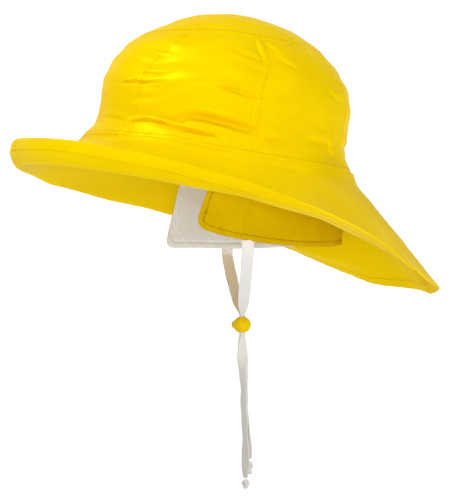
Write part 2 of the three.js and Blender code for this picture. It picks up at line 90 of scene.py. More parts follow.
CROWN_SECTIONS = table(
    "step rise front back side",
    (0, 0, 1, 1, 1),
    (1, 0.055, 0.955, 0.965, 0.962),
    (2, 0.11, 0.917, 0.94, 0.94),
    (3, 0.2, 0.902, 0.93, 0.93),
    (4, 0.37, 0.9, 0.93, 0.925),
    (5, 0.52, 0.865, 0.893, 0.885),
    (6, 0.66, 0.78, 0.8, 0.79),
    (7, 0.78, 0.63, 0.68, 0.64),
    (8, 0.88, 0.465, 0.55, 0.47),
    (9, 0.95, 0.28, 0.37, 0.29),
    (10, 1, -0.044, 0.044, 0),
)
SEAM_ROWS = table("angle dip", (0, 0), (50, 0.15), (80, 0.8), (105, 1), (140, 0.6), (180, 0))
TIP_SEAM = table("angle step", (0, 6.6), (90, 7.1), (180, 7.0))
BRIM_ROWS = table(
    "angle spread drop band bow",
    (0, 1, 0.45, 74, 1),
    (30, 1, 0.475, 72, 1),
    (45, 1, 0.505, 64, 1),
    (60, 1, 0.535, 51, 0.9),
    (75, 1, 0.565, 34, 0.8),
    (90, 1, 0.61, 18, 0.6),
    (105, 0.95, 0.69, 4, 0.4),
    (120, 0.87, 0.8, -11, 0.2),
    (135, 0.84, 0.94, -27, 0),
    (150, 0.84, 1, -37, 0),
    (165, 0.84, 1, -44, 0),
    (180, 0.84, 1.02, -51, 0),
)
BRIM_PROFILE = table("row reach drop", (0, 0, 0), (1, 0.07, 0.13), (2, 0.28, 0.315), (3, 0.52, 0.55),
                     (4, 0.8, 0.82), (5, 1, 1))
FLAP_HEM = table("angle left right swing", (70, 0.85, 1.07, 16), (82, 0.9, 1.09, 16), (95, 0.93, 1.02, 14),
                 (115, 0.92, 0.93, 10), (145, 0.87, 0.84, 3), (180, 0.78, 0.78, -1.5))

# Dents of the crown's form: place as an angle and a rise, sizes as shares of the crown's height
DENTS = table(
    "angle rise long wide depth slant",
    (55, 0.11, 0.26, 0.035, 0.026, -8),
    (76, 0.17, 0.2, 0.07, 0.034, -2),
    (88, 0.4, 0.16, 0.05, 0.02, -12),
    (97, 0.66, 0.12, 0.09, 0.034, 30),
    (42, 0.46, 0.2, 0.045, 0.012, 0),
    (155, 0.66, 0.5, 0.24, -0.03, 0),
)

# Sway of the crown's seams from straight lines: the front, side and back seams' degrees by step
SEAM_SWAY = table(
    "step front side back",
    (0, 1, 0, 0),
    (1.2, 1, 0, -1),
    (2.4, -3.5, -1, -4),
    (3.4, -3, -1.5, -1),
    (4.4, -1, -1, -0.5),
    (5.2, 2.5, 1, -3),
    (5.8, 6, 3, -7),
    (6.3, 9.5, 1.5, -7),
    (7.1, 13, 0, -5),
)

# Creases of the crown's cloth, each through four places: angles, and heights, width and depth in millimetres
CROWN_CREASES = table(
    "angle_a height_a angle_b height_b angle_c height_c angle_d height_d width depth",
    (31, 9.4, 39, 12.4, 45, 12.9, 53, 10.2, 0.95, 2.1),
    (47, 12.2, 55, 9.2, 66, 7.5, 79, 5.6, 1.0, 2.7),
    (5, 15.5, 14, 14.6, 22, 13.0, 31, 11.0, 1.8, 0.94),
    (57, 13.0, 66, 19.0, 78, 17.4, 95, 12.2, 3.2, 3.6),
    (24, 49.0, 33, 50.2, 41, 50.4, 50, 50.6, 0.9, 1.3),
    (13, 43.2, 27, 42.4, 36, 42.6, 50, 44.7, 1.2, 1.6),
    (30, 30.4, 36, 30.8, 41, 31.4, 47, 33.0, 2.2, 1.08),
    (31, 63.4, 37, 62.8, 42, 62.8, 49, 64.6, 2.2, 1.08),
    (26, 71.5, 34, 73.5, 41, 72.0, 50, 69.0, 3, 1.08),
    (70, 44.9, 78, 44.4, 87, 41.4, 97, 38.2, 1.5, 2),
    (58, 59.0, 66, 57.2, 75, 55.0, 86, 50.6, 3.2, 1.22),
    (52, 38.0, 58, 42.0, 66, 44.0, 72, 45.0, 2.6, 0.61),
    (48, 27.0, 54, 30.0, 60, 34.5, 68, 36.0, 2.6, 0.68),
    (90, 90.0, 92, 84.0, 94, 77.0, 97, 70.0, 2.2, 1.0),
    (97, 87.5, 100, 84.5, 103, 81.5, 106, 79.0, 2.2, 0.9),
    (102, 76.5, 105, 74.7, 108, 73.0, 113, 70.0, 1.7, 0.94),
    (80, 68.7, 85, 67.0, 90, 65.5, 95, 64.0, 1.6, 1.22),
    (79, 77.5, 84, 75.5, 89, 73.5, 94, 72.0, 1.5, 0.94),
    (77, 11.0, 80, 9.0, 82, 6.5, 83, 3.0, 1.2, 0.61),
    (93, 12.5, 97, 9.2, 103, 8.6, 110, 10.5, 1.6, 0.94),
    (93, 5.0, 99, 4.2, 106, 6.0, 114, 8.0, 1.4, 0.61),
    (118, 12.0, 124, 15.5, 131, 16.0, 139, 14.0, 2.4, 0.94),
    (130, 58.5, 135, 54.8, 139, 52.5, 144, 51.0, 1.8, 1.08),
    (133, 24.0, 134, 18.0, 134, 12.0, 138, 6.0, 2.4, 1.08),
    (124, 71.0, 129, 68.5, 134, 67.0, 140, 67.5, 2.2, 0.94),
    (48, 97.5, 60, 96.6, 75, 96.3, 92, 95.0, 1.6, 0.81),
    (64, 101.0, 76, 101.6, 90, 101.0, 104, 98.0, 2.2, 0.94),
    (30, 88.0, 40, 91.0, 50, 92.0, 60, 91.5, 2.4, 0.68),
    (148, 16.0, 158, 19.0, 168, 18.0, 179, 14.5, 2.4, 1.22),
    (186, 40.0, 196, 44.0, 208, 45.5, 218, 43.0, 2.8, 1.08),
    (205, 15.0, 214, 18.5, 224, 17.0, 236, 13.0, 1.9, 1.49),
    (232, 60.0, 240, 63.0, 250, 61.0, 262, 57.0, 2.4, 1.22),
    (252, 16.0, 264, 19.5, 278, 17.0, 292, 12.0, 1.9, 2.03),
    (262, 46.0, 270, 48.0, 280, 46.5, 292, 43.0, 2.1, 1.35),
    (270, 78.0, 276, 75.0, 283, 73.5, 291, 74.0, 1.9, 1.08),
    (296, 14.0, 306, 16.5, 316, 14.0, 328, 10.0, 1.7, 1.89),
    (312, 52.0, 320, 54.0, 329, 53.0, 338, 51.0, 1.6, 1.22),
    (334, 33.0, 342, 35.0, 350, 35.5, 358, 34.0, 2.2, 0.3),
)

# Routes of the chin tapes, as the solids have them: metres, shares of width and thickness, turn in degrees
TAPE_LEFT = table(
    "x y z width thick turn",
    (0.0739, 0.0034, -0.0718, 1, 1, 0),
    (0.0724, 0.0041, -0.0775, 1, 1, 0),
    (0.060, 0.007, -0.091, 1, 1, 0),
    (0.040, 0.0115, -0.106, 1, 1, 0),
    (0.020, 0.016, -0.1195, 0.95, 1, 0),
    (0.0065, 0.0197, -0.127, 0.7, 1.4, -14),
    (0.00092, 0.02089, -0.132, 0.42, 1.6, -23),
    (0.00092, 0.02089, -0.147, 0.42, 1.6, -23),
    (0.00098, 0.02064, -0.152, 0.6, 1.4, -8),
    (0.00082, 0.02068, -0.162, 0.85, 1.1, 15),
    (0.00056, 0.0209, -0.176, 1, 1, 58),
    (0.00038, 0.02155, -0.195, 1, 1, 80),
    (0.00047, 0.0227, -0.222, 1, 1, 80),
    (0.00075, 0.0232, -0.240, 1, 1, 76),
    (0.0008, 0.0233, -0.256, 0.85, 1.1, 62),
    (0.0008, 0.0233, -0.262, 0.6, 1.4, 62),
    (0.0008, 0.0233, -0.265, 0.4, 1.6, 62),
)
TAPE_RIGHT = table(
    "x y z width thick turn",
    (-0.0726, 0.0289, -0.0743, 1, 1, 0),
    (-0.0713, 0.0284, -0.080, 1, 1, 0),
    (-0.059, 0.027, -0.0925, 1, 1, 0),
    (-0.040, 0.025, -0.107, 1, 1, 0),
    (-0.020, 0.0227, -0.120, 0.95, 1, 0),
    (-0.0065, 0.0208, -0.127, 0.7, 1.4, -14),
    (-0.00092, 0.02011, -0.132, 0.42, 1.6, -23),
    (-0.00092, 0.02011, -0.147, 0.42, 1.6, -23),
    (-0.00098, 0.02036, -0.152, 0.6, 1.4, -8),
    (-0.00082, 0.02112, -0.162, 0.85, 1.1, 15),
    (-0.00056, 0.0219, -0.176, 1, 1, 58),
    (-0.00038, 0.02285, -0.195, 1, 1, 80),
    (-0.00047, 0.0245, -0.222, 1, 1, 80),
    (-0.00075, 0.0262, -0.238, 0.85, 1.1, 76),
    (-0.0008, 0.0272, -0.246, 0.6, 1.4, 62),
    (-0.0008, 0.0275, -0.2495, 0.4, 1.6, 62),
)


# Arithmetic of curves and surfaces

def smooth(rows: dict[str, Array], key: str, name: str, at: Array) -> Array:
    """Read a table's column between its rows, without overshooting them.

    Args:
        rows: the table.
        key: the column that says where each row is, rising.
        name: the column to read.
        at: places along the key column.

    Returns:
        The column's values at those places.
    """
    keys, values = rows[key], rows[name]
    at = np.asarray(at, float)
    span = np.diff(keys)
    slope = np.diff(values) / span
    alike = slope[:-1] * slope[1:] > 0
    total = np.where(alike, slope[:-1] + slope[1:], 1.0)
    inner = np.where(alike, 2 * slope[:-1] * slope[1:] / total, 0.0)
    slopes = np.concatenate([slope[:1], inner, slope[-1:]])
    i = np.clip(np.searchsorted(keys, at) - 1, 0, len(span) - 1)
    t = np.clip((at - keys[i]) / span[i], 0, 1)
    lift_a = (2 * t**3 - 3 * t**2 + 1) * values[i] + (t**3 - 2 * t**2 + t) * span[i] * slopes[i]
    lift_b = (3 * t**2 - 2 * t**3) * values[i + 1] + (t**3 - t**2) * span[i] * slopes[i + 1]
    return lift_a + lift_b


def unit(vectors: Array) -> Array:
    """Scale vectors on the last axis to length one."""
    return vectors / np.maximum(np.linalg.norm(vectors, axis=-1, keepdims=True), 1e-12)


def swell(distance: Array, centre: float, width: float) -> Array:
    """Rise smoothly to one at a centre and fall off over a width."""
    return np.exp(-(((distance - centre) / width) ** 2))


def folded(angle: Array) -> Array:
    """Angle from the front on either side, from 0 to 180 degrees."""
    return np.abs((np.asarray(angle, float) + 180) % 360 - 180)


def eased(start: float, end: float, count: int, crowding: float = 0.75) -> Array:
    """Spread values from start to end, closer together at both ends."""
    t = np.linspace(0, 1, count)
    return start + (end - start) * (t - crowding * np.sin(2 * math.pi * t) / (2 * math.pi))


def undulation(points: Array, size: float, seed: int, waves: int = 14) -> Array:
    """Make a smooth random swell over space, as slack cloth has.

    Args:
        points: places, on the last axis.
        size: usual distance from crest to crest.
        seed: fixed seed of the waves.
        waves: how many waves are added up.

    Returns:
        Heights, mostly between minus one and one.
    """
    random = np.random.default_rng(seed)
    total = np.zeros(points.shape[:-1])
    for _ in range(waves):
        way = unit(random.normal(size=3)) * 2 * math.pi / (size * random.uniform(0.7, 1.6))
        total += np.sin(points @ way + random.uniform(0, 2 * math.pi))
    return total / math.sqrt(waves)


# Cross-section of a crease in half widths of its valley, and how it fades along its length
CREASE_SAMPLES = 61
CREASE_REACH = 5
RIDGE_HEIGHT, RIDGE_PLACE, RIDGE_WIDTH = 0.7, 1.9, 1.3
CREASE_FADE = 0.7


def creased(places: Array, corners: Array, width: float) -> Array:
    """Shape one crease: a sharp valley with a soft ridge above it, fading at its ends.

    Args:
        places: flat places across and up the cloth.
        corners: the four places that the crease goes through.
        width: half width of the valley.

    Returns:
        Heights for a crease one deep.
    """
    rows = {"at": np.arange(4.0), "x": corners[:, 0], "y": corners[:, 1]}
    at = np.linspace(0, 3, CREASE_SAMPLES)
    line = np.stack([smooth(rows, "at", "x", at), smooth(rows, "at", "y", at)], axis=-1)
    total = np.zeros(places.shape[:-1])
    reach = CREASE_REACH * width
    near = ((places > line.min(axis=0) - reach) & (places < line.max(axis=0) + reach)).all(axis=-1)
    away = places[near][:, None] - line
    closest = (away**2).sum(axis=-1).argmin(axis=-1)
    away = away[np.arange(len(closest)), closest]
    way = unit(np.gradient(line, axis=0))[closest]
    across = way[:, 0] * away[:, 1] - way[:, 1] * away[:, 0]
    fade = np.sin(math.pi * np.clip(at[closest] / 3, 0, 1)) ** CREASE_FADE
    ridge = RIDGE_HEIGHT * swell(across, RIDGE_PLACE * width, RIDGE_WIDTH * width)
    total[near] = fade * (ridge - swell(across, 0, width))
    return total


def arc_lengths(points: Array) -> Array:
    """Add up the lengths along a row of points."""
    steps = np.linalg.norm(np.diff(points, axis=0), axis=-1)
    return np.concatenate([[0.0], np.cumsum(steps)])


def grid_normals(points: Array, ring: bool = False) -> Array:
    """Work out the normals of a grid of points from its neighbours, turned away from the hat's inside."""
    if ring:
        padded = np.concatenate([points[:, -1:], points, points[:, :1]], axis=1)
        across = np.gradient(padded, axis=1)[:, 1:-1]
    else:
        across = np.gradient(points, axis=1)
    return unit(np.cross(across, np.gradient(points, axis=0)))


# Meshes

RIM_BULGE = 0.32
SHARP_ANGLE = 48


def add_object(name: str, data: bpy.types.ID) -> bpy.types.Object:
    """Make an object and link it to the scene."""
    obj = bpy.data.objects.new(name, data)
    bpy.context.scene.collection.objects.link(obj)
    return obj


def new_object(name: str, vertices: Array, faces: list, uv: Array | None = None) -> bpy.types.Object:
    """Make a smooth mesh object whose faces point outwards.

    Args:
        name: the piece's name.
        vertices: corner places in the row frame.
        faces: tuples of corner numbers of one closed surface.
        uv: a flat place for each corner, in metres.

    Returns:
        The linked object, at the origin.
    """
    mesh = bpy.data.meshes.new(name)
    mesh.from_pydata(vertices.tolist(), [], faces)
    corners = np.array([(f[0], f[i], f[i + 1]) for f in faces for i in range(1, len(f) - 1)])
    a, b, c = (vertices[corners[:, i]] for i in range(3))
    if np.einsum("ij,ij->i", a, np.cross(b, c)).sum() < 0:
        mesh.flip_normals()
    if uv is not None:
        layer = mesh.uv_layers.new(name="cloth")
        loops = np.zeros(len(mesh.loops), np.int32)
        mesh.loops.foreach_get("vertex_index", loops)
        layer.data.foreach_set("uv", uv[loops].astype(np.float32).ravel())
    mesh.shade_smooth()
    mesh.update()
    return add_object(name, mesh)


def wall_object(name: str, points: Array, normals: Array, thickness: Array, uv: Array,
                ring: bool = False, pole: bool = False) -> bpy.types.Object:
    """Make a closed wall of cloth with a rounded rim from its outer surface.

    Args:
        name: the piece's name.
        points: grid of places on the outer surface.
        normals: the outer surface's normals on that grid.
        thickness: thickness of the wall on that grid.
        uv: flat places on that grid, in metres.
        ring: whether the grid closes on itself across.
        pole: whether the last row is one point.

    Returns:
        The piece.
    """
    rows, cols = points.shape[:2]
    inner = points - normals * np.broadcast_to(thickness, points.shape[:2])[..., None]
    vertices = [points.reshape(-1, 3), inner.reshape(-1, 3)]
    flat = [uv.reshape(-1, 2), uv.reshape(-1, 2)]
    layer = rows * cols

    def corner(r: int, c: int, under: int) -> int:
        """Number of a corner of the outer or inner layer."""
        column = c % cols if ring else c
        return under * layer + r * cols + (0 if pole and r == rows - 1 else column)

    faces = []
    for r in range(rows - 1):
        for c in range(cols if ring else cols - 1):
            outer = [corner(r, c, 0), corner(r, c + 1, 0), corner(r + 1, c + 1, 0), corner(r + 1, c, 0)]
            under = [corner(r, c, 1), corner(r + 1, c, 1), corner(r + 1, c + 1, 1), corner(r, c + 1, 1)]
            faces += [tuple(dict.fromkeys(outer)), tuple(dict.fromkeys(under))]
    if ring:
        rims = [[(0, c, 1, c) for c in range(cols)]]
        if not pole:
            rims.append([(rows - 1, c, rows - 2, c) for c in reversed(range(cols))])
    else:
        edge = [(0, c, 1, c) for c in range(cols)]
        edge += [(r, cols - 1, r, cols - 2) for r in range(1, rows)]
        edge += [(rows - 1, c, rows - 2, c) for c in range(cols - 2, -1, -1)]
        edge += [(r, 0, r, 1) for r in range(rows - 2, 0, -1)]
        rims = [edge]
    start = 2 * layer
    for rim in rims:
        r0, c0, r1, c1 = np.array(rim).T
        wall = points[r0, c0] - inner[r0, c0]
        away = unit(points[r0, c0] - points[r1, c1]) * np.linalg.norm(wall, axis=-1, keepdims=True)
        vertices.append((points[r0, c0] + inner[r0, c0]) / 2 + RIM_BULGE * away)
        flat.append(uv[r0, c0])
        count = len(rim)
        for k in range(count):
            n = (k + 1) % count
            here, there = corner(r0[k], c0[k], 0), corner(r0[n], c0[n], 0)
            below, beyond = corner(r0[k], c0[k], 1), corner(r0[n], c0[n], 1)
            faces.append((there, here, start + k, start + n))
            faces.append((start + n, start + k, below, beyond))
        start += count
    obj = new_object(name, np.concatenate(vertices), faces, np.concatenate(flat))
    obj.data.set_sharp_from_angle(angle=math.radians(SHARP_ANGLE))
    return obj


def tube_object(name: str, rings: Array, uv: Array) -> bpy.types.Object:
    """Make a closed tube from rings of points, with a flat cap at each end."""
    count, sides = rings.shape[:2]
    faces = []
    for i in range(count - 1):
        for k in range(sides):
            n = (k + 1) % sides
            faces.append((i * sides + k, i * sides + n, (i + 1) * sides + n, (i + 1) * sides + k))
    last = (count - 1) * sides
    faces.append(tuple(range(sides - 1, -1, -1)))
    faces.append(tuple(range(last, last + sides)))
    return new_object(name, rings.reshape(-1, 3), faces, uv.reshape(-1, 2))


# Materials

class Tree:
    """Short ways to add and join nodes of one node tree."""

    def __init__(self, tree: bpy.types.NodeTree) -> None:
        """Keep the tree."""
        self.tree = tree

    def add(self, kind: str, inputs: dict | None = None, **settings: object) -> bpy.types.Node:
        """Add a node.

        Args:
            kind: the node's type.
            inputs: values or output sockets for its inputs, by name or number.
            settings: its own properties.

        Returns:
            The node.
        """
        node = self.tree.nodes.new(kind)
        for name, value in settings.items():
            setattr(node, name, value)
        return self.feed(node, inputs or {})

    def feed(self, node: bpy.types.Node, inputs: dict) -> bpy.types.Node:
        """Set or join a node's inputs, by name or number, and return the node."""
        for name, value in inputs.items():
            if isinstance(value, bpy.types.NodeSocket):
                self.tree.links.new(value, node.inputs[name])
            else:
                node.inputs[name].default_value = value
        return node

    def math(self, operation: str, a: object, b: object = 0.0) -> bpy.types.NodeSocket:
        """Add a math node and return its value."""
        return self.add("ShaderNodeMath", {0: a, 1: b}, operation=operation).outputs[0]

    def ramp(self, value: object, low: float, high: float, to_low: float = 0.0,
             to_high: float = 1.0) -> bpy.types.NodeSocket:
        """Map a value from one range to another and return it."""
        inputs = {"Value": value, "From Min": low, "From Max": high, "To Min": to_low, "To Max": to_high}
        return self.add("ShaderNodeMapRange", inputs).outputs["Result"]

    def mix(self, factor: object, a: object, b: object) -> bpy.types.NodeSocket:
        """Mix two colours and return the colour."""
        node = self.add("ShaderNodeMix", data_type="RGBA")
        for name, value in (("Factor_Float", factor), ("A_Color", a), ("B_Color", b)):
            socket = next(s for s in node.inputs if s.identifier == name)
            if isinstance(value, bpy.types.NodeSocket):
                self.tree.links.new(value, socket)
            else:
                socket.default_value = value
        return next(s for s in node.outputs if s.identifier == "Result_Color")


def shader_group(name: str, inputs: dict[str, float],
                 outputs: tuple[str, ...]) -> tuple[Tree, dict, bpy.types.Node]:
    """Start a shader node group with a vector input and float inputs and outputs.

    Args:
        name: the group's name.
        inputs: float inputs and their usual values.
        outputs: names of the float outputs.

    Returns:
        The tree, the inputs' sockets by name, and the output node.
    """
    group = bpy.data.node_groups.new(name, "ShaderNodeTree")
    group.interface.new_socket("Vector", in_out="INPUT", socket_type="NodeSocketVector")
    for key, value in inputs.items():
        group.interface.new_socket(key, in_out="INPUT", socket_type="NodeSocketFloat").default_value = value
    for key in outputs:
        group.interface.new_socket(key, in_out="OUTPUT", socket_type="NodeSocketFloat")
    source = group.nodes.new("NodeGroupInput")
    sink = group.nodes.new("NodeGroupOutput")
    return Tree(group), {s.name: s for s in source.outputs if s.name}, sink


def build_grain() -> bpy.types.NodeTree:
    """Build the group for fine grain and slow changes of tone, used by cloth and plastic."""
    scales = {"Grain Scale": 900.0, "Patch Scale": 14.0}
    tree, given, sink = shader_group("surface_grain", scales, ("Height", "Tone"))
    for scale, detail, output in (("Grain Scale", 3.0, "Height"), ("Patch Scale", 4.0, "Tone")):
        inputs = {"Vector": given["Vector"], "Scale": given[scale], "Detail": detail}
        tree.feed(sink, {output: tree.add("ShaderNodeTexNoise", inputs).outputs["Fac"]})
    return tree.tree


def build_weave() -> bpy.types.NodeTree:
    """Build the group for woven threads on a flat cloth map in metres: plain weave, or twill by its slant."""
    inputs = {"Pitch": 0.0007, "Slant": 0.0}
    tree, given, sink = shader_group("woven_threads", inputs, ("Height", "Thread"))
    place = tree.add("ShaderNodeSeparateXYZ", {0: given["Vector"]})
    per_metre = tree.math("DIVIDE", 2 * math.pi, given["Pitch"])
    slanted = tree.math("ADD", place.outputs["X"], tree.math("MULTIPLY", place.outputs["Y"], given["Slant"]))
    warp = tree.math("SINE", tree.math("MULTIPLY", slanted, per_metre))
    weft = tree.math("SINE", tree.math("MULTIPLY", place.outputs["Y"], per_metre))
    woven = tree.math("ADD", tree.math("MULTIPLY", warp, 0.5), tree.math("MULTIPLY", weft, 0.3))
    stray = tree.add("ShaderNodeTexNoise", {"Vector": given["Vector"], "Scale": 2600.0, "Detail": 2.0})
    height = tree.math("ADD", woven, stray.outputs["Fac"])
    tree.feed(sink, {"Height": height, "Thread": tree.ramp(warp, -1, 1)})
    return tree.tree


Colour = tuple[float, float, float, float]


@dataclass(frozen=True)
class CoatedCloth:
    """Satin polyurethane-coated rain cloth, or its sewing thread."""

    name: str = "coated_cloth"
    colour: Colour = (0.93, 0.66, 0.0, 1)
    deep: Colour = (0.89, 0.61, 0.0, 1)
    gleam: Colour = (1, 0.86, 0.2, 1)
    satin: float = 0.1
    streaks: tuple[float, float, float] = (28, 28, 120)
    streak_depth: float = 0.0016
    roughness: float = 0.43
    shine: float = 0.02
    grain: float = 0.00006

    def build(self, grain: bpy.types.NodeTree) -> bpy.types.Material:
        """Build the material.

        Args:
            grain: the group for grain and tone.

        Returns:
            The material.
        """
        material, tree, shader = start_material(self.name)
        place = tree.add("ShaderNodeTexCoord").outputs["Object"]
        surface = tree.add("ShaderNodeGroup", {"Vector": place}, node_tree=grain).outputs
        relief = tree.add("ShaderNodeBump", {"Strength": 0.6, "Distance": self.grain,
                                             "Height": surface["Height"]})
        level = tree.add("ShaderNodeMapping", {"Vector": place, "Scale": self.streaks})
        slack = tree.add("ShaderNodeTexNoise", {"Vector": level.outputs[0], "Scale": 1.0, "Detail": 3.0})
        waves = tree.add("ShaderNodeBump", {"Strength": 0.5, "Distance": self.streak_depth,
                                            "Height": slack.outputs["Fac"],
                                            "Normal": relief.outputs["Normal"]})
        tone = tree.ramp(surface["Tone"], 0.35, 0.65)
        tree.feed(shader, {
            "Base Color": tree.mix(tone, self.deep, self.colour),
            "Roughness": tree.ramp(surface["Tone"], 0.3, 0.7, self.roughness + 0.05, self.roughness - 0.04),
            "Normal": waves.outputs["Normal"],
            "Specular Tint": self.gleam,
            "Specular IOR Level": self.shine,
            "Metallic": self.satin,
        })
        return material


@dataclass(frozen=True)
class WovenCotton:
    """Matt cotton, woven plain for the lining or as twill for the tapes."""

    name: str
    colour: Colour
    shade: Colour
    pitch: float
    slant: float
    relief: float
    sheen: float = 0.25

    def build(self, grain: bpy.types.NodeTree, weave: bpy.types.NodeTree) -> bpy.types.Material:
        """Build the material.

        Args:
            grain: the group for grain and tone.
            weave: the group for woven threads.

        Returns:
            The material.
        """
        material, tree, shader = start_material(self.name)
        flat = tree.add("ShaderNodeUVMap", uv_map="cloth").outputs["UV"]
        place = tree.add("ShaderNodeTexCoord").outputs["Object"]
        threads = tree.add("ShaderNodeGroup", {"Vector": flat, "Pitch": self.pitch, "Slant": self.slant},
                           node_tree=weave).outputs
        surface = tree.add("ShaderNodeGroup", {"Vector": place}, node_tree=grain).outputs
        mask = tree.math("ADD", tree.math("MULTIPLY", threads["Thread"], 0.6),
                         tree.math("MULTIPLY", surface["Tone"], 0.5))
        relief = tree.add("ShaderNodeBump", {"Strength": 0.8, "Distance": self.relief,
                                             "Height": threads["Height"]})
        tree.feed(shader, {
            "Base Color": tree.mix(mask, self.shade, self.colour),
            "Roughness": tree.ramp(surface["Height"], 0.2, 0.8, 0.85, 0.95),
            "Normal": relief.outputs["Normal"],
            "Sheen Weight": self.sheen,
            "Sheen Roughness": 0.5,
        })
        return material


@dataclass(frozen=True)
class MouldedPlastic:
    """Satin moulded plastic of the cord lock."""

    name: str = "moulded_plastic"
    colour: Colour = (0.93, 0.66, 0.0, 1)
    deep: Colour = (0.88, 0.58, 0.0, 1)
    gleam: Colour = (1, 0.86, 0.3, 1)
    roughness: float = 0.32
    shine: float = 0.25
    patch_scale: float = 160.0
    grain_scale: float = 2200.0
    grain: float = 0.00003

    def build(self, grain: bpy.types.NodeTree) -> bpy.types.Material:
        """Build the material.

        Args:
            grain: the group for grain and tone.

        Returns:
            The material.
        """
        material, tree, shader = start_material(self.name)
        place = tree.add("ShaderNodeTexCoord").outputs["Object"]
        inputs = {"Vector": place, "Patch Scale": self.patch_scale, "Grain Scale": self.grain_scale}
        surface = tree.add("ShaderNodeGroup", inputs, node_tree=grain).outputs
        relief = tree.add("ShaderNodeBump", {"Strength": 0.4, "Distance": self.grain,
                                             "Height": surface["Height"]})
        tree.feed(shader, {
            "Base Color": tree.mix(surface["Tone"], self.deep, self.colour),
            "Roughness": tree.ramp(surface["Height"], 0.3, 0.7, self.roughness - 0.04, self.roughness + 0.08),
            "Normal": relief.outputs["Normal"],
            "Specular Tint": self.gleam,
            "Specular IOR Level": self.shine,
        })
        return material


def start_material(name: str) -> tuple[bpy.types.Material, Tree, bpy.types.Node]:
    """Make a material and return it with its tree and its Principled shader."""
    material = bpy.data.materials.new(name)
    material.use_nodes = True
    return material, Tree(material.node_tree), material.node_tree.nodes["Principled BSDF"]


@dataclass
class Finishes:
    """Every finish of the hat, built once."""

    cloth: bpy.types.Material = field(init=False)
    # flap: the neck flap's coated cloth darkened, painted shade of the hat's shadow over the flap
    flap: bpy.types.Material = field(init=False)
    thread: bpy.types.Material = field(init=False)
    # flap_thread_painted_shade: the sewing thread darkened with the flap's painted shade
    flap_thread_painted_shade: bpy.types.Material = field(init=False)
    lining: bpy.types.Material = field(init=False)
    tape: bpy.types.Material = field(init=False)
    plastic: bpy.types.Material = field(init=False)

    def __post_init__(self) -> None:
        """Build the shared groups and the materials."""
        grain = build_grain()
        weave = build_weave()
        self.cloth = CoatedCloth().build(grain)
        # The neck flap takes the same coated cloth darkened: painted shade of the hat's shadow over it, not a
        # different cloth.
        self.flap = CoatedCloth("flap_cloth_painted_shade", (0.64, 0.42, 0.0, 1), (0.58, 0.38, 0.0, 1),
                                streaks=(90, 90, 8)).build(grain)
        self.thread = CoatedCloth("sewing_thread", (0.80, 0.53, 0.0, 1), (0.72, 0.47, 0.0, 1),
                                  roughness=0.6).build(grain)
        # The flap's thread is darkened as well: painted shade, together with the flap's cloth.
        self.flap_thread_painted_shade = CoatedCloth("flap_thread_painted_shade", (0.34, 0.2, 0.0, 1), (0.28, 0.16, 0.0, 1),
                                       roughness=0.6).build(grain)
        self.lining = WovenCotton("lining_cotton", (0.91, 0.94, 1.0, 1), (0.76, 0.78, 0.83, 1), 0.0007, 0.0,
                                  0.00012).build(grain, weave)
        self.tape = WovenCotton("twill_tape", (1.0, 0.98, 0.96, 1), (0.88, 0.85, 0.82, 1), 0.0011, 0.9,
                                0.0002).build(grain, weave)
        self.plastic = MouldedPlastic().build(grain)


def dress(obj: bpy.types.Object, material: bpy.types.Material, body: str = HAT,
          nodes: tuple[str, ...] = ()) -> bpy.types.Object:
    """Give a piece its material, let it ride and stand for its solids, and report it.

    Args:
        obj: the piece.
        material: its finish.
        body: the body it rides on.
        nodes: the solids it stands for.

    Returns:
        The piece.
    """
    obj.data.materials.clear()
    obj.data.materials.append(material)
    if nodes:
        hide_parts(*nodes)
    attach(obj, body)
    log.info("%s: %d faces, %s", obj.name, len(obj.data.polygons), material.name)
    return obj


# Stitches

def build_stitch_tree() -> bpy.types.NodeTree:
    """Build the Geometry Nodes tree that lays rounded stitches along the edges of a mesh."""
    group = bpy.data.node_groups.new("stitch_rows", "GeometryNodeTree")
    face = group.interface
    face.new_socket("Geometry", in_out="INPUT", socket_type="NodeSocketGeometry")
    for name in ("Pitch", "Length", "Radius"):
        face.new_socket(name, in_out="INPUT", socket_type="NodeSocketFloat")
    face.new_socket("Thread", in_out="INPUT", socket_type="NodeSocketMaterial")
    face.new_socket("Geometry", in_out="OUTPUT", socket_type="NodeSocketGeometry")
    tree = Tree(group)
    given = tree.add("NodeGroupInput").outputs
    line = tree.add("GeometryNodeMeshToCurve", {"Mesh": given["Geometry"]})
    spaced = tree.add("GeometryNodeResampleCurve", {"Curve": line.outputs[0], "Length": given["Pitch"]},
                      mode="LENGTH")
    ball = tree.add("GeometryNodeMeshUVSphere", {"Segments": 6, "Rings": 5, "Radius": 1.0})
    half = tree.math("MULTIPLY", given["Length"], 0.5)
    size = tree.add("ShaderNodeCombineXYZ", {"X": half, "Y": given["Radius"], "Z": given["Radius"]})
    stitch = tree.add("GeometryNodeTransform", {"Geometry": ball.outputs["Mesh"], "Scale": size.outputs[0]})
    along = tree.add("GeometryNodeInputTangent")
    turn = tree.add("FunctionNodeAlignRotationToVector", {"Vector": along.outputs[0]}, axis="X")
    laid = tree.add("GeometryNodeInstanceOnPoints", {
        "Points": spaced.outputs[0], "Instance": stitch.outputs[0], "Rotation": turn.outputs[0]})
    real = tree.add("GeometryNodeRealizeInstances", {"Geometry": laid.outputs[0]})
    rounded = tree.add("GeometryNodeSetShadeSmooth", {"Geometry": real.outputs[0]})
    sewn = tree.add("GeometryNodeSetMaterial", {"Geometry": rounded.outputs[0], "Material": given["Thread"]})
    tree.add("NodeGroupOutput", {"Geometry": sewn.outputs[0]})
    return group


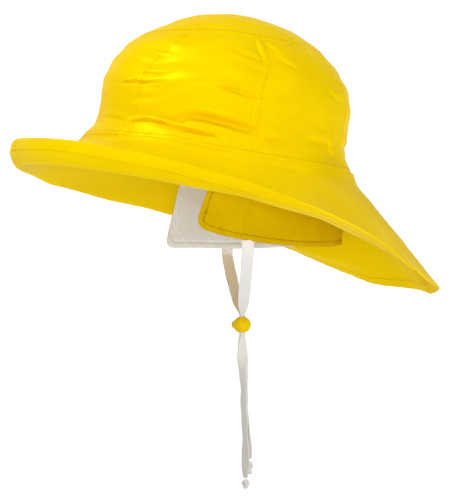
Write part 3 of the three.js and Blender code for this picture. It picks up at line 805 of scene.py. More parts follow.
@dataclass
class Sewing:
    """Lays rows of stitches along paths."""

    thread: bpy.types.Material
    pitch: float = 0.0026
    length: float = 0.0021
    radius: float = 0.00027
    tree: bpy.types.NodeTree = field(default_factory=build_stitch_tree)

    def rows(self, name: str, paths: list[Array]) -> bpy.types.Object:
        """Sew rows of stitches.

        Args:
            name: the piece's name.
            paths: rows of places in the row frame.

        Returns:
            One piece with all the stitches.
        """
        edges = []
        start = 0
        for path in paths:
            edges += [(start + i, start + i + 1) for i in range(len(path) - 1)]
            start += len(path)
        mesh = bpy.data.meshes.new(name + "_path")
        mesh.from_pydata(np.concatenate(paths).tolist(), edges, [])
        carrier = add_object(name + "_path", mesh)
        modifier = carrier.modifiers.new("stitches", "NODES")
        modifier.node_group = self.tree
        values = {"Pitch": self.pitch, "Length": self.length, "Radius": self.radius, "Thread": self.thread}
        for item in self.tree.interface.items_tree:
            if item.in_out == "INPUT" and item.name in values:
                modifier[item.identifier] = values[item.name]
        graph = bpy.context.evaluated_depsgraph_get()
        sewn = bpy.data.meshes.new_from_object(carrier.evaluated_get(graph))
        bpy.data.objects.remove(carrier)
        return dress(add_object(name, sewn), self.thread)


# Hat

@dataclass
class Hat:
    """Sizes that the hat's parts share, and how it sits."""

    wear_tilt: float = 7.3
    opening_length: float = 0.226
    opening_width: float = 0.184
    seam_dip: float = 0.006
    cloth: float = 0.0015
    gap: float = 0.0003

    def worn(self, points: Array) -> Array:
        """Turn places in the hat's own frame to where they are on a head."""
        a = math.radians(self.wear_tilt)
        x, y, z = np.moveaxis(points, -1, 0)
        return np.stack([x, y * math.cos(a) + z * math.sin(a), z * math.cos(a) - y * math.sin(a)], axis=-1)

    def around(self, angle: Array, half_width: Array, half_front: Array, half_back: Array) -> Array:
        """Place points on an egg-shaped line in plan, by angle from the front."""
        a = np.radians(angle)
        length = np.where(np.cos(a) > 0, half_front, half_back)
        return np.stack([np.sin(a) * half_width, -np.cos(a) * length, np.zeros(np.shape(a))], axis=-1)

    def outward(self, angle: Array, half_width: float, half_length: float) -> Array:
        """Level direction out of an ellipse, by angle from the front."""
        a = np.radians(angle)
        way = [np.sin(a) / half_width, -np.cos(a) / half_length, np.zeros(np.shape(a))]
        return unit(np.stack(way, axis=-1))

    def dip(self, angle: Array) -> Array:
        """Depth of the brim seam below its plane."""
        return smooth(SEAM_ROWS, "angle", "dip", folded(angle)) * self.seam_dip


# Cloth beside a seam: the allowance's ridge under it, the groove, and the pull of the stitches
SEAM_RELIEF = table("height place width", (0.00006, 0.0022, 0.0018), (-0.00032, 0, 0.0007),
                    (-0.00008, 0.0042, 0.0007))
PUCKER_WAVES = (0.0062, 0.0085, 0.0131)
PUCKER_HEIGHT = 0.00011
PUCKER_REACH = 0.006


def seam_relief(distance: Array) -> Array:
    """Shape cloth beside a seam."""
    return sum(height * swell(distance, place, width) for height, place, width in zip(*SEAM_RELIEF.values()))


def pucker(along: Array, distance: Array, seed: int) -> Array:
    """Gather cloth lightly along a seam or a row of stitches."""
    random = np.random.default_rng(seed)
    wave = sum(np.sin(along * 2 * math.pi / size + random.uniform(0, 6)) for size in PUCKER_WAVES)
    return PUCKER_HEIGHT * wave * swell(distance, 0, PUCKER_REACH)


@dataclass
class Crown:
    """Six side panels and an oval tip, sewn together."""

    hat: Hat
    finishes: Finishes
    sewing: Sewing
    height: float = 0.116
    seams: tuple[float, ...] = (35, 92, 146, 214, 268, 325)
    names: tuple[str, ...] = ("crown_front", "crown_left_front", "crown_left_back", "crown_back",
                              "crown_right_back", "crown_right_front")
    columns: int = 100
    rows: int = 108
    creased_panel: str = "crown_left_front"
    creased_share: float = 1.6
    cap_steps: float = 0.25
    cap_rings: int = 8
    cap_lift: float = 0.0004
    tip_columns: int = 260
    tip_rings: int = 56
    stitch_offset: float = 0.0042
    stitch_lift: float = 0.0001
    stitch_start: float = 0.35
    stitch_stop: float = 0.12
    step_at_tip: float = 0.0175
    step_at_brim: float = 0.0084
    pole_step: float = 0.032
    pole_slope: float = 0.18
    pole_radius: float = 0.010
    pole_lift: float = 0.0018
    pole_width: float = 0.04
    pole_fade: float = 0.5
    probe_angle: float = 0.4
    probe_step: float = 0.03
    slack: tuple[float, float] = (0.0004, 0.045)
    wrinkle: tuple[float, float] = (0.00026, 0.019)
    wrinkle_stretch: tuple[float, float, float] = (0.7, 0.7, 1.8)

    def form(self, angle: Array, step: Array) -> Array:
        """Place points on the crown's smooth form with its dents, in the hat's own frame."""
        half_length, half_width = self.hat.opening_length / 2, self.hat.opening_width / 2
        front = smooth(CROWN_SECTIONS, "step", "front", step) * half_length
        back = smooth(CROWN_SECTIONS, "step", "back", step) * half_length
        side = smooth(CROWN_SECTIONS, "step", "side", step) * half_width
        rise = smooth(CROWN_SECTIONS, "step", "rise", step)
        points = self.hat.around(angle, side, front, back)
        from_pole = (CROWN_SECTIONS["step"][-1] - step) * self.pole_step
        flat = self.pole_slope * (np.hypot(from_pole, self.pole_radius) - from_pole)
        flat = flat - self.pole_lift * swell(from_pole, 0, self.pole_width)
        points[..., 2] = rise * self.height - self.hat.dip(angle) * (1 - rise) ** 2 - flat
        dents = self.dents(np.asarray(angle) % 360, rise * self.height)
        return points - self.hat.outward(angle, half_width, half_length) * dents[..., None]

    def dents(self, angle: Array, height: Array) -> Array:
        """Depth of the crown's dents at angles and heights."""
        depth = np.zeros(np.broadcast(angle, height).shape)
        for centre, rise, long, wide, deep, slant in zip(*DENTS.values()):
            sideways = np.radians(angle - centre) * self.hat.opening_width / 2
            upwards = height - rise * self.height
            s = math.radians(slant)
            along = sideways * math.cos(s) + upwards * math.sin(s)
            across = upwards * math.cos(s) - sideways * math.sin(s)
            far = (along / (long * self.height)) ** 2 + (across / (wide * self.height)) ** 2
            depth += deep * self.height * np.exp(-far)
        return depth

    def creases(self, angle: Array, height: Array) -> Array:
        """Height of the cloth's creases at angles and heights."""
        radius = self.hat.opening_width / 2
        places = np.stack(np.broadcast_arrays(np.radians(angle) * radius, height), axis=-1)
        total = np.zeros(places.shape[:-1])
        for *corners, width, depth in zip(*CROWN_CREASES.values()):
            corners = np.reshape(corners, (4, 2)) * [math.radians(radius), MILLIMETRE]
            total += creased(places, corners, width * MILLIMETRE) * depth * MILLIMETRE
        return total

    def seam_angle(self, seam: float, step: Array) -> Array:
        """Follow one of the seams up the crown."""
        name = ("front", "side", "back")[int(np.abs(np.array(self.seams[:3]) - folded(seam)).argmin())]
        sway = smooth(SEAM_SWAY, "step", name, step)
        return seam + (sway if seam < 180 else -sway)

    def surface(self, angle: Array, step: Array, lift: float = 0.0) -> Array:
        """Place points on the finished cloth, in the row frame.

        Args:
            angle: degrees from the front.
            step: steps of the section table.
            lift: height above the cloth.

        Returns:
            The places.
        """
        angle, step = np.broadcast_arrays(np.asarray(angle, float), np.asarray(step, float))
        small, last = self.probe_step, CROWN_SECTIONS["step"][-1]
        points = self.form(angle, step)
        across = self.form(angle + self.probe_angle, step) - self.form(angle - self.probe_angle, step)
        up = self.form(angle, np.minimum(step + small, last)) - self.form(angle, np.maximum(step - small, 0))
        normal = unit(np.cross(across, up))
        normal = np.where((step > last - small)[..., None], UP, normal)
        per_step = np.linalg.norm(up, axis=-1) / (2 * small)
        tip = smooth(TIP_SEAM, "angle", "step", folded(angle))
        radius = np.linalg.norm(points[..., :2], axis=-1)
        beside = [np.radians(folded(angle - self.seam_angle(seam, step))) for seam in self.seams]
        upright = np.where(step > tip, 1.0, np.min(beside, axis=0) * radius)
        level = np.minimum(np.abs(step - tip), step) * per_step
        height = points[..., 2]
        relief = self.creases(angle % 360, height) + seam_relief(upright) + seam_relief(level)
        relief += pucker(height, upright, 3) + pucker(np.radians(angle) * radius, level, 4)
        (slack, slack_size), (wrinkle, wrinkle_size) = self.slack, self.wrinkle
        relief += slack * undulation(points, slack_size, 5)
        relief += wrinkle * undulation(points * np.array(self.wrinkle_stretch), wrinkle_size, 6)
        relief = relief * np.clip((last - step) / self.pole_fade, 0, 1)
        return self.hat.worn(points + normal * (relief + lift)[..., None])

    def flat_map(self, angle: Array, step: Array) -> Array:
        """Flat places of the cloth for its weave, in metres."""
        return np.stack([np.radians(angle) * self.hat.opening_width / 2, step * 0.1 * self.height], axis=-1)

    def panel(self, name: str, start: float, end: float) -> bpy.types.Object:
        """Build one side panel between two seams."""
        finer = self.creased_share if name == self.creased_panel else 1
        share = eased(0, 1, round(self.columns * finer))[None, :]
        rise = eased(0, 1, round(self.rows * finer))[:, None]
        angles = start + (end - start) * share
        for _ in range(3):
            steps = rise * smooth(TIP_SEAM, "angle", "step", folded(angles))
            angles = self.seam_angle(start % 360, steps) * (1 - share) + self.seam_angle(end, steps) * share
            angles = angles - (start % 360 - start) * (1 - share)
        points = self.surface(angles, steps)
        uv = self.flat_map(angles, steps)
        return wall_object(name + "_cloth", points, grid_normals(points), self.hat.cloth, uv)

    def tip(self) -> bpy.types.Object:
        """Build the oval panel on top."""
        angles = (np.arange(self.tip_columns) + 0.5)[None, :] * 360 / self.tip_columns
        start = smooth(TIP_SEAM, "angle", "step", folded(angles))
        share = eased(0, 1, self.tip_rings, 0.4)[:, None]
        last = CROWN_SECTIONS["step"][-1] - self.cap_steps
        steps = start + (last - start) * share
        angles = np.broadcast_to(angles, steps.shape)
        points = self.surface(angles, steps)
        middle = points[-1].mean(axis=0)
        shrink = np.linspace(1, 0, self.cap_rings + 1)[1:, None, None]
        cap = middle + (points[-1] - middle) * shrink + UP * self.cap_lift * (1 - shrink**2)
        points = np.concatenate([points, cap])
        normals = grid_normals(points, ring=True)
        normals[-1] = unit(normals[-2].mean(axis=0))
        uv = np.stack([points[..., 0], points[..., 1]], axis=-1)
        return wall_object("crown_tip_cloth", points, normals, self.hat.cloth, uv, ring=True, pole=True)

    def stitch_paths(self) -> list[Array]:
        """Rows of stitches beside the seams."""
        paths = []
        around = np.linspace(0, 360, 720)
        tip = smooth(TIP_SEAM, "angle", "step", folded(around))
        lift = self.stitch_lift
        for seam in self.seams:
            steps = np.linspace(self.stitch_start, 1, 160) * smooth(TIP_SEAM, "angle", "step", folded(seam))
            steps = steps[steps < steps[-1] - self.stitch_stop]
            radius = np.linalg.norm(self.form(np.full(steps.shape, seam), steps)[:, :2], axis=-1)
            away = np.degrees(self.stitch_offset / radius) * (1 if seam < 180 else -1)
            paths.append(self.surface(self.seam_angle(seam, steps) + away, steps, lift))
        brim = np.zeros(around.shape)
        for steps, length in ((tip, self.step_at_tip), (brim, self.step_at_brim)):
            paths.append(self.surface(around, steps + self.stitch_offset / length, lift))
        return paths

    def build(self) -> None:
        """Build and dress the crown."""
        starts = (self.seams[-1] - 360, *self.seams[:-1])
        for name, start, end in zip(self.names, starts, self.seams):
            dress(self.panel(name, start, end), self.finishes.cloth, nodes=(name,))
        dress(self.tip(), self.finishes.cloth, nodes=("crown_tip",))
        self.sewing.rows("crown_stitches", self.stitch_paths())


@dataclass
class Brim:
    """Two halves of doubled cloth, seamed at the front and back, with a hemmed edge that turns up."""

    hat: Hat
    finishes: Finishes
    sewing: Sewing
    reach_front: float = 0.047
    reach_side: float = 0.048
    reach_back: float = 0.072
    drop: float = 0.070
    band: float = 0.022
    bow: float = 20
    hem: float = 0.0105
    hem_step: float = 0.0004
    hem_blend: float = 0.00035
    hem_inset: float = 0.0014
    stitch_offset: float = 0.0042
    stitch_lift: float = 0.0001
    seam_groove: tuple[float, float] = (0.0004, 0.0008)
    slack: tuple[float, float] = (0.0006, 0.07)
    wrinkle: tuple[float, float] = (0.00016, 0.02)
    arc_radius: float = 0.14
    columns: int = 300
    slope_rows: int = 60
    band_rows: int = 30

    def line(self, angles: Array) -> Array:
        """Place points across the brim from the seam to the free edge, for angles from 0 to 180."""
        half_width, half_length = self.hat.opening_width / 2, self.hat.opening_length / 2
        spread = smooth(BRIM_ROWS, "angle", "spread", angles)
        seam = self.hat.around(angles, half_width, half_length, half_length)
        fold = self.hat.around(angles, (half_width + self.reach_side) * spread,
                               half_length + self.reach_front, half_length + self.reach_back)
        dip = self.hat.dip(angles)
        fall = smooth(BRIM_ROWS, "angle", "drop", angles) * self.drop - dip
        place = np.linspace(0, BRIM_PROFILE["row"][-1], self.slope_rows)
        reach = smooth(BRIM_PROFILE, "row", "reach", place)[None, :, None]
        slope = seam[:, None] * (1 - reach) + fold[:, None] * reach
        slope[..., 2] = -dip[:, None] - smooth(BRIM_PROFILE, "row", "drop", place)[None, :] * fall[:, None]
        rise = smooth(BRIM_ROWS, "angle", "band", angles)[:, None]
        bow = smooth(BRIM_ROWS, "angle", "bow", angles)[:, None] * self.bow
        middle = (np.arange(self.band_rows)[None, :] + 0.5) / self.band_rows
        lean = np.radians(rise + 2 * bow * (2 * middle - 1))
        out = unit(fold - seam)[:, None]
        steps = (out * np.cos(lean)[..., None] + UP * np.sin(lean)[..., None]) * self.band / self.band_rows
        edge = slope[:, -1:] + np.cumsum(steps, axis=1)
        return self.rounded(np.concatenate([slope, edge], axis=1))

    def rounded(self, lines: Array, reach: int = 5) -> Array:
        """Round the fold by averaging each line with its neighbours along it, with the ends kept."""
        weights = swell(np.arange(-reach, reach + 1), 0, reach / 2)
        weights = weights / weights.sum()
        padded = np.pad(lines, ((0, 0), (reach, reach), (0, 0)), mode="edge")
        count = lines.shape[1]
        mean = sum(w * padded[:, k:k + count] for k, w in enumerate(weights))
        fold = np.abs(np.arange(count) - self.slope_rows)
        share = np.clip(1.6 - fold / 8, 0, 1)[None, :, None]
        return lines * (1 - share) + mean * share

    def surface(self, side: Side) -> tuple[Array, Array, Array]:
        """Build one half's upper surface.

        Args:
            side: which half.

        Returns:
            Its places and normals in the row frame, and each place's distance from the free edge.
        """
        angles = eased(0, 180, self.columns, 0.9)
        points = self.line(angles)
        normals = grid_normals(points)
        if normals[:, 5, 2].mean() < 0:
            normals = -normals
        normals[0, :, 0] = normals[-1, :, 0] = 0
        normals = unit(normals)
        steps = np.linalg.norm(np.diff(points, axis=1), axis=-1)
        from_seam = np.concatenate([np.zeros((len(angles), 1)), np.cumsum(steps, axis=1)], axis=1)
        to_edge = from_seam[:, -1:] - from_seam
        centre = np.abs(points[..., 0])
        flip = np.array([side.value, 1, 1])
        along = np.radians(angles)[:, None] * self.arc_radius
        relief = seam_relief(centre) + pucker(from_seam, centre, 8) + pucker(along, to_edge, 9) * 0.8
        groove, groove_width = self.seam_groove
        relief += pucker(along, from_seam, 10) - groove * swell(from_seam, 0, groove_width)
        for (height, size), seed in ((self.slack, 11), (self.wrinkle, 12)):
            relief += height * undulation(points * flip, size, seed)
        points = points + normals * relief[..., None]
        return self.hat.worn(points * flip), self.hat.worn(normals * flip), to_edge

    def half(self, side: Side) -> tuple[bpy.types.Object, list[Array]]:
        """Build one half and the rows of stitches on it.

        Args:
            side: which half.

        Returns:
            The piece and the paths of its stitches.
        """
        points, normals, to_edge = self.surface(side)
        hem = 1 / (1 + np.exp((to_edge - self.hem) / self.hem_blend))
        thickness = self.hat.cloth + self.hem_step * hem
        uv = np.stack(np.broadcast_arrays(np.linspace(0, 0.5, self.columns)[:, None], to_edge), axis=-1)
        piece = wall_object(f"brim_{side.name.lower()}_cloth", points, normals, thickness, uv)
        paths = []
        centre = np.abs(points[..., 0])
        inside = points - normals * (thickness + self.stitch_lift)[..., None]
        for face in (points + normals * self.stitch_lift, inside):
            for rows in (slice(0, 60), slice(-60, None)):
                beside = [face[rows][np.abs(centre[rows, j] - self.stitch_offset).argmin(), j]
                          for j in range(4, face.shape[1] - 2)]
                paths.append(np.array(beside))
        beyond = np.abs(to_edge - (self.hem - self.hem_inset)).argmin(axis=1)
        paths.append(inside[np.arange(len(inside)), beyond])
        return piece, paths

    def build(self) -> None:
        """Build and dress both halves."""
        paths = []
        for side in Side:
            piece, rows = self.half(side)
            dress(piece, self.finishes.cloth, nodes=(f"brim_{side.name.lower()}",))
            paths += rows
        self.sewing.rows("brim_stitches", paths)


@dataclass
class NeckFlap:
    """Ear and neck flap: coated cloth outside, cotton inside, hemmed and topstitched."""

    hat: Hat
    finishes: Finishes
    sewing: Sewing
    length: float = 0.072
    corner: float = 0.009
    front_left: float = 79
    front_right: float = 88
    slant: float = 8
    layer: float = 0.0011
    hem: float = 0.0042
    pull_angle: float = 92.5
    pull_lean: float = 3
    pull_width: float = 0.0017
    pull_height: float = 0.0011
    slack: tuple[float, float] = (0.0011, 0.06)
    wrinkle: tuple[float, float] = (0.0003, 0.018)
    stitch_lift: float = 0.00005
    stitch_reach: float = 0.0006
    columns: int = 280
    rows: int = 64

    def bottom(self, plain: Array) -> Array:
        """Length of the flap below the seam at an angle, without its rounded corners."""
        left = smooth(FLAP_HEM, "angle", "left", folded(plain))
        right = smooth(FLAP_HEM, "angle", "right", folded(plain))
        return np.where(plain > 180, right, left) * self.length

    def surface(self, inset: float, wave_seed: int) -> tuple[Array, Array, Array, Array]:
        """Build one layer's outer surface.

        Args:
            inset: how far it lies inside the seam.
            wave_seed: seed of its swell.

        Returns:
            Its places and normals in the row frame, its flat map, and each place's distance from the edge.
        """
        end = 360 - self.front_right
        share = np.linspace(0, 1, self.columns)
        share = share - 0.55 * np.sin(2 * math.pi * share) / (2 * math.pi)
        plain = (self.front_left + (end - self.front_left) * share)[:, None]
        half_width = self.hat.opening_width / 2 - inset
        half_length = self.hat.opening_length / 2 - inset
        from_end = np.radians(np.minimum(plain - self.front_left, end - plain)) * self.hat.opening_width / 2
        near = np.maximum(0, self.corner - from_end)
        bottom = self.bottom(plain) - (self.corner - np.sqrt(self.corner**2 - near**2))
        top = 2 * self.hat.gap
        down = np.linspace(0, 1, self.rows)
        down = (down + 0.45 * np.sin(math.pi * down) / math.pi)[None, :]
        below = top + (bottom - top) * down
        swing = np.radians(smooth(FLAP_HEM, "angle", "swing", folded(plain)))
        angle = plain - self.slant * np.cos(math.pi * share[:, None]) * below / self.length
        out = self.hat.outward(angle, half_width, half_length)
        points = self.hat.around(angle, half_width, half_length, half_length)
        points = points - out * (below * np.sin(swing))[..., None]
        points[..., 2] = -self.hat.dip(angle) - below * np.cos(swing)
        normals = out * np.cos(swing)[..., None] - UP * np.sin(swing)[..., None]
        to_hem = self.bottom(plain) - below
        side = np.broadcast_to(from_end, to_hem.shape)
        round_off = (side < self.corner) & (to_hem < self.corner)
        inner = self.corner - np.hypot(self.corner - side, self.corner - to_hem)
        edge = np.where(round_off, inner, np.minimum(side, to_hem))
        around = np.broadcast_to(np.radians(plain) * half_width, below.shape)
        free = np.clip(below / self.length, 0, 1)
        (slack, slack_size), (wrinkle, wrinkle_size) = self.slack, self.wrinkle
        relief = slack * free * undulation(points, slack_size, wave_seed)
        relief += wrinkle * undulation(points, wrinkle_size, wave_seed + 1)
        relief += pucker(around + below, np.abs(edge - self.hem / 2), wave_seed + 2) * 1.5
        from_pull = np.radians(angle - self.pull_angle - self.pull_lean * (1 - free)) * half_width
        relief += self.pull_height * free * swell(from_pull, 0, self.pull_width)
        uv = np.stack([around, below], axis=-1)
        return points + normals * relief[..., None], normals, uv, edge

    def build(self) -> None:
        """Build and dress the shell, the lining and their stitches."""
        inset = self.hat.cloth + 2 * self.hat.gap
        points, normals, uv, edge = self.surface(inset, 21)
        middle = self.layer + self.hat.gap / 2
        groove = 0.00035 * swell(edge, self.hem, 0.0006) - 0.00018 * swell(edge, self.hem / 2, 0.0012)
        outer = points - normals * groove[..., None]
        worn = self.hat.worn
        shell = wall_object("neck_flap_shell_cloth", worn(outer), worn(normals), middle - groove, uv)
        # The shell's darker flap cloth is painted shade of the hat's shadow.
        dress(shell, self.finishes.flap, nodes=("neck_flap_shell",))
        inside = 2 * self.layer + self.hat.gap - 0.0006 * swell(edge, self.hem + 0.0006, 0.0009)
        inside += 0.0002 * swell(edge, self.hem / 2, 0.0014)
        core = points - normals * middle
        lining = wall_object("neck_flap_lining_cotton", worn(core), worn(normals), inside - middle, uv)
        dress(lining, self.finishes.lining, nodes=("neck_flap_lining",))
        self.sewing.rows("neck_flap_stitches", self.stitch_paths(outer, normals, edge))

    def stitch_paths(self, points: Array, normals: Array, edge: Array) -> list[Array]:
        """Row of stitches round the flap's two front edges and its hem."""
        level = edge[:, 10:]
        places = points + normals * self.stitch_lift
        hem = [places[i, 10 + np.abs(level[i] - self.hem).argmin()] for i in range(self.columns)
               if abs(level[i] - self.hem).min() < self.stitch_reach]
        sides = []
        for chosen in (slice(0, 60), slice(-60, None)):
            near = edge[chosen, 6:60]
            column = np.abs(near - self.hem).argmin(axis=0)
            row = places[chosen, 6:60][column, np.arange(near.shape[1])]
            sides.append(row[np.abs(near - self.hem).min(axis=0) < self.stitch_reach])
        start, end = sides
        path = np.concatenate([start[:-2], np.array(hem), end[::-1][2:]])
        return [self.hat.worn(path)]


# Unevenness of a tape: the ripple of its edges, its sway and its cupping
TAPE_RIPPLES = table("height wave", (0.00022, 0.0031), (0.0003, 0.0075), (0.00035, 0.02))


@dataclass
class ChinTape:
    """One chin tape along its route, with the overhand knot in its end."""

    name: str
    route: dict[str, Array]
    finishes: Finishes
    knot_length: float
    knot_width: float
    seed: int
    width: float = 0.010
    thickness: float = 0.001
    rings: int = 420
    sides: int = 20
    squareness: float = 0.45
    ripples: dict[str, Array] = field(default_factory=lambda: TAPE_RIPPLES)
    strand_share: float = 0.22

    def stations(self) -> tuple[Array, Array, Array, Array]:
        """Follow the route.

        Returns:
            Ring centres, widths, thicknesses and turns along it.
        """
        rows = dict(self.route, at=np.arange(len(self.route["x"]), dtype=float))
        at = np.linspace(0, rows["at"][-1], self.rings)
        centres = np.stack([smooth(rows, "at", name, at) for name in ("x", "y", "z")], axis=-1)
        width = smooth(rows, "at", "width", at) * self.width
        thick = smooth(rows, "at", "thick", at) * self.thickness
        return centres, width, thick, np.radians(smooth(rows, "at", "turn", at))

    def build(self, threaded: list[bpy.types.Object]) -> None:
        """Build and dress the tape and its knot.

        Args:
            threaded: pieces that are threaded on this tape; not used.
        """
        centres, width, thick, turn = self.stations()
        along = unit(np.gradient(centres, axis=0))
        wide = np.stack([np.sin(turn), np.cos(turn), np.zeros(len(turn))], axis=-1)
        wide = unit(wide - along * np.einsum("ij,ij->i", wide, along)[:, None])
        face = np.cross(along, wide)
        angle = np.linspace(0, 2 * math.pi, self.sides, endpoint=False)
        across = np.sign(np.cos(angle)) * np.abs(np.cos(angle)) ** self.squareness
        depth = np.sign(np.sin(angle)) * np.abs(np.sin(angle)) ** self.squareness
        length = arc_lengths(centres)[:, None]
        random = np.random.default_rng(self.seed)
        phase = random.uniform(0, 6, 4)
        edge, sway, cup = self.ripples["height"]
        edge_wave, sway_wave, cup_wave = self.ripples["wave"]
        ripple = edge * np.sin(length / edge_wave + phase[0] + 2 * across) * across[None, :] ** 2
        ripple += sway * np.sin(length / sway_wave + phase[1]) * across[None, :]
        ripple += cup * np.sin(length / cup_wave + phase[2]) * (across[None, :] ** 2 - 0.4)
        spread = np.clip(width / self.width, 0, 1)[:, None] ** 2
        offset = depth[None, :] * thick[:, None] / 2 + ripple * spread
        rings = (centres[:, None] + wide[:, None] * (across[None, :] * width[:, None] / 2)[..., None]
                 + face[:, None] * offset[..., None])
        uv = np.stack(np.broadcast_arrays(length, across[None, :] * self.width / 2), axis=-1)
        tape = tube_object(self.name + "_twill", rings, uv)
        dress(tape, self.finishes.tape, nodes=(self.name,))
        with_pieces = [self.knot(centres[-1]), *threaded]

    def knot(self, end: Array) -> bpy.types.Object:
        """Build the overhand knot below the tape's end."""
        t = np.linspace(0, 2 * math.pi, 240, endpoint=False)
        line = np.stack([np.sin(t) + 2 * np.sin(2 * t), np.sin(3 * t) * 1.1,
                         np.cos(t) - 2 * np.cos(2 * t)], axis=-1)
        half = np.abs(line).max(axis=0)
        strand = self.knot_width * self.strand_share
        size = np.array([self.knot_width * 0.4, self.knot_width / 2, self.knot_length / 2]) - strand * 0.9
        line = line[:, [1, 0, 2]] / half[[1, 0, 2]] * size
        centre = end - np.array([0, 0, self.knot_length / 2 + 0.0002])
        along = unit(np.roll(line, -1, axis=0) - np.roll(line, 1, axis=0))
        side = unit(np.cross(along, unit(line + 1e-6)))
        face = np.cross(along, side)
        angle = np.linspace(0, 2 * math.pi, 14, endpoint=False)
        rings = (line[:, None] + side[:, None] * (np.cos(angle) * strand * 1.25)[None, :, None]
                 + face[:, None] * (np.sin(angle) * strand * 0.75)[None, :, None] + centre)
        count, sides = rings.shape[:2]
        faces = [(i * sides + k, i * sides + (k + 1) % sides, ((i + 1) % count) * sides + (k + 1) % sides,
                  ((i + 1) % count) * sides + k) for i in range(count) for k in range(sides)]
        length = np.append(arc_lengths(line), 0)[:count, None]
        uv = np.stack(np.broadcast_arrays(length, angle[None, :] * strand), axis=-1)
        name = self.name.replace("tape", "knot")
        knot = new_object(name + "_twill", rings.reshape(-1, 3), faces, uv.reshape(-1, 2))
        return dress(knot, self.finishes.tape, nodes=(name,))


@dataclass
class CordLock:
    """Egg-shaped barrel with a sprung plunger, both pierced for the tapes."""

    finishes: Finishes
    centre: tuple[float, float, float] = (0.0, 0.0205, -0.1395)
    turn: float = 23
    diameter: float = 0.0136
    roundness: float = 2.6
    end_wall: float = 0.0014
    lip: float = 0.0024
    travel: float = 0.0016
    plunger: float = 0.0072
    plunger_end: float = 0.0012
    knob_out: float = 0.0055
    knob_edge: float = 0.001
    way: float = 0.0022
    way_width: float = 0.0048
    gap: float = 0.0003
    bevel: float = 0.00022
    sharp: float = 40
    rib_start: float = 0.0004
    rib_pitch: float = 0.0009
    rib_depth: float = 0.00025
    rib_slope: float = 0.00015
    sides: int = 72

    def turned(self, name: str, profile: list[tuple[float, float]]) -> bpy.types.Object:
        """Turn a closed profile of radius and place about the lock's axis."""
        def corner(ring: int, side: int) -> int:
            """Number of a corner of a ring."""
            return ring * self.sides + side % self.sides

        angle = np.linspace(0, 2 * math.pi, self.sides, endpoint=False)
        inner = profile[1:-1]
        rings = np.array([[(at, r * math.cos(a), r * math.sin(a)) for a in angle] for r, at in inner])
        poles = np.array([(profile[0][1], 0, 0), (profile[-1][1], 0, 0)])
        vertices = np.concatenate([rings.reshape(-1, 3), poles])
        count = len(inner)
        faces = []
        for k in range(self.sides):
            faces.append((corner(count, 0), k, corner(0, k + 1)))
            faces.append((corner(count - 1, k + 1), corner(count - 1, k), corner(count, 0) + 1))
            faces += [(corner(i, k), corner(i + 1, k), corner(i + 1, k + 1), corner(i, k + 1))
                      for i in range(count - 1)]
        return new_object(name, vertices, faces)

    def pierced(self, obj: bpy.types.Object, start: float, end: float) -> bpy.types.Object:
        """Cut the tapes' way through a piece and put it in place.

        Args:
            obj: the piece, about its own axis.
            start: where the way starts along the axis.
            end: where it ends.

        Returns:
            The piece in the row frame.
        """
        half = self.way_width / 2
        box = np.array([(x, y, z) for x in (start, end) for y in (-half, half) for z in (-0.02, 0.02)])
        sides = [(0, 1, 3, 2), (4, 6, 7, 5), (0, 4, 5, 1), (2, 3, 7, 6), (0, 2, 6, 4), (1, 5, 7, 3)]
        cutter = new_object("way_cutter", box, sides)
        cut = obj.modifiers.new("way", "BOOLEAN")
        cut.object = cutter
        cut.operation = "DIFFERENCE"
        cut.solver = "EXACT"
        soften = obj.modifiers.new("edges", "BEVEL")
        soften.width = self.bevel
        soften.segments = 2
        soften.limit_method = "ANGLE"
        soften.angle_limit = math.radians(self.sharp)
        graph = bpy.context.evaluated_depsgraph_get()
        mesh = bpy.data.meshes.new_from_object(obj.evaluated_get(graph))
        obj.modifiers.clear()
        obj.data = mesh
        bpy.data.objects.remove(cutter)
        a = math.radians(self.turn)
        places = np.zeros(len(mesh.vertices) * 3)
        mesh.vertices.foreach_get("co", places)
        x, y, z = places.reshape(-1, 3).T
        placed = np.stack([x * math.cos(a) - y * math.sin(a), x * math.sin(a) + y * math.cos(a), z], axis=-1)
        mesh.vertices.foreach_set("co", (placed + np.array(self.centre)).ravel())
        mesh.shade_smooth()
        mesh.set_sharp_from_angle(angle=math.radians(self.sharp))
        mesh.update()
        return obj

    def build(self) -> list[bpy.types.Object]:
        """Build and dress the barrel and the plunger, and return both."""
        bore = self.plunger / 2 + self.gap
        floor = self.way + self.plunger_end + self.travel + self.gap
        end = floor + self.end_wall
        mouth = -self.way - self.lip
        profile = [(0, floor), (bore, floor), (bore, mouth)]
        for t in np.linspace(0, 1, 26):
            at = mouth + (end - mouth) * math.sin(t * math.pi / 2)
            share = max(1 - (abs(at) / end) ** self.roundness, 0)
            profile.append((self.diameter / 2 * share ** (1 / self.roundness), at))
        profile[-1] = (0, end)
        barrel = self.pierced(self.turned("cord_lock_barrel_moulding", profile), -self.way, self.way)
        dress(barrel, self.finishes.plastic, nodes=("cord_lock_barrel",))
        radius = self.plunger / 2
        knob = mouth - self.knob_out
        profile = [(0, knob), (radius - self.knob_edge, knob)]
        for t in np.linspace(0, math.pi / 2, 6):
            away = self.knob_edge * (1 - math.sin(t))
            profile.append((radius - away, knob + self.knob_edge * (1 - math.cos(t))))
        low, slope = radius - self.rib_depth, self.rib_slope
        for ring in range(3):
            at = knob + self.knob_edge + self.rib_start + self.rib_pitch * ring
            profile += [(radius, at), (low, at + slope), (low, at + 2 * slope), (radius, at + 3 * slope)]
        profile += [(radius, self.way + self.plunger_end), (0, self.way + self.plunger_end)]
        blank = self.turned("cord_lock_plunger_moulding", profile)
        plunger = self.pierced(blank, -self.way - self.travel, self.way)
        dress(plunger, self.finishes.plastic, LOCK_PLUNGER, ("cord_lock_plunger",))
        return [barrel, plunger]


# Studio

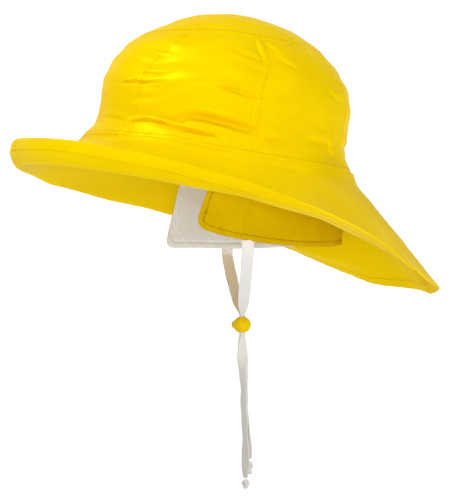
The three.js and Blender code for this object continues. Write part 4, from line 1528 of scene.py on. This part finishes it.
@dataclass
class Studio:
    """Camera at the photograph's angle, soft lights, and a plain pale floor."""

    place: tuple[float, float, float] = (1.92199, -0.54558, -0.12015)
    aim: tuple[float, float, float] = (-0.000107, 0.005573, -0.078262)
    lens: float = 175.7
    ambient: float = 0.24
    floor_height: float = -0.32
    floor_size: float = 12.0
    shade: tuple[float, float] = (0.12, 0.42)
    shade_centre: tuple[float, float, float] = (0, -0.12, -0.32)
    sheet_grey: float = 0.42
    floor_glow: float = 0.8
    backdrop_glow: float = 1.0

    def camera(self) -> None:
        """Make the camera."""
        data = bpy.data.cameras.new("camera")
        data.lens = self.lens
        data.sensor_width = 36
        camera = add_object("camera", data)
        camera.location = self.place
        way = Vector(self.aim) - Vector(self.place)
        camera.rotation_euler = way.to_track_quat("-Z", "Y").to_euler()
        bpy.context.scene.camera = camera

    def light(self, name: str, place: tuple[float, float, float], size: float, power: float) -> None:
        """Add a soft square light that faces the hat."""
        data = bpy.data.lights.new(name, "AREA")
        data.size = size
        data.energy = power
        lamp = add_object(name, data)
        lamp.location = place
        lamp.rotation_euler = (-Vector(place)).to_track_quat("-Z", "Y").to_euler()

    def sheet(self, name: str, corners: list[tuple[float, float, float]], glow: float) -> None:
        """Add a plain white sheet that is not part of the hat, with some glow of its own."""
        mesh = bpy.data.meshes.new(name)
        mesh.from_pydata(corners, [], [(0, 1, 2, 3)])
        obj = add_object(name, mesh)
        material, tree, shader = start_material(name + "_white")
        place = tree.add("ShaderNodeTexCoord").outputs["Object"]
        away = tree.add("ShaderNodeVectorMath", {0: place, 1: self.shade_centre}, operation="SUBTRACT")
        far = tree.add("ShaderNodeVectorMath", {0: away.outputs[0]}, operation="LENGTH").outputs["Value"]
        tree.feed(shader, {
            "Base Color": (self.sheet_grey, self.sheet_grey, self.sheet_grey, 1),
            "Roughness": 0.9,
            "Emission Color": (1, 1, 1, 1),
            "Emission Strength": tree.ramp(far, *self.shade, 0.0, glow),
        })
        mesh.materials.append(material)

    def build(self) -> None:
        """Build the lights, the surroundings, the floor and the backdrop."""
        self.light("key", (0.35, -0.95, 1.55), 0.4, 20)
        self.light("side", (1.5, 1.5, 1.1), 1.2, 12)
        self.light("low", (2.0, -0.5, -0.25), 0.6, 18)
        world = bpy.data.worlds.new("surroundings")
        world.use_nodes = True
        background = world.node_tree.nodes["Background"]
        Tree(world.node_tree).feed(background, {"Color": (1, 1, 1, 1), "Strength": self.ambient})
        bpy.context.scene.world = world
        half = self.floor_size / 2
        low = self.floor_height
        plan = [(-half, -half, low), (half, -half, low), (half, half, low), (-half, half, low)]
        self.sheet("floor", plan, self.floor_glow)
        back = -(Vector(self.place) - Vector(self.aim)).normalized() * half * 0.9
        across = Vector((0, 0, 1)).cross(back).normalized() * half
        corners = [back - across, back + across, back + across, back - across]
        heights = (low - 0.2, low - 0.2, half, half)
        self.sheet("backdrop", [(c.x, c.y, z) for c, z in zip(corners, heights)], self.backdrop_glow)
        bpy.context.scene.view_settings.view_transform = "Standard"


def main() -> None:
    """Build the hat and its studio."""
    studio = Studio()
    studio.camera()
    finishes = Finishes()
    sewing = Sewing(finishes.thread)
    lock = CordLock(finishes).build()
    ChinTape("tape_left", TAPE_LEFT, finishes, knot_length=0.009, knot_width=0.0065, seed=31).build(lock)
    ChinTape("tape_right", TAPE_RIGHT, finishes, knot_length=0.013, knot_width=0.005, seed=32).build([])
    hat = Hat()
    Crown(hat, finishes, sewing).build()
    Brim(hat, finishes, sewing).build()
    # The flap is sewn with the darker thread that carries the flap's painted shade.
    flap_sewing = Sewing(finishes.flap_thread_painted_shade, pitch=0.0034, length=0.0025, radius=0.00034,
                         tree=sewing.tree)
    NeckFlap(hat, finishes, flap_sewing).build()
    studio.build()


if __name__ == "__main__":
    main()
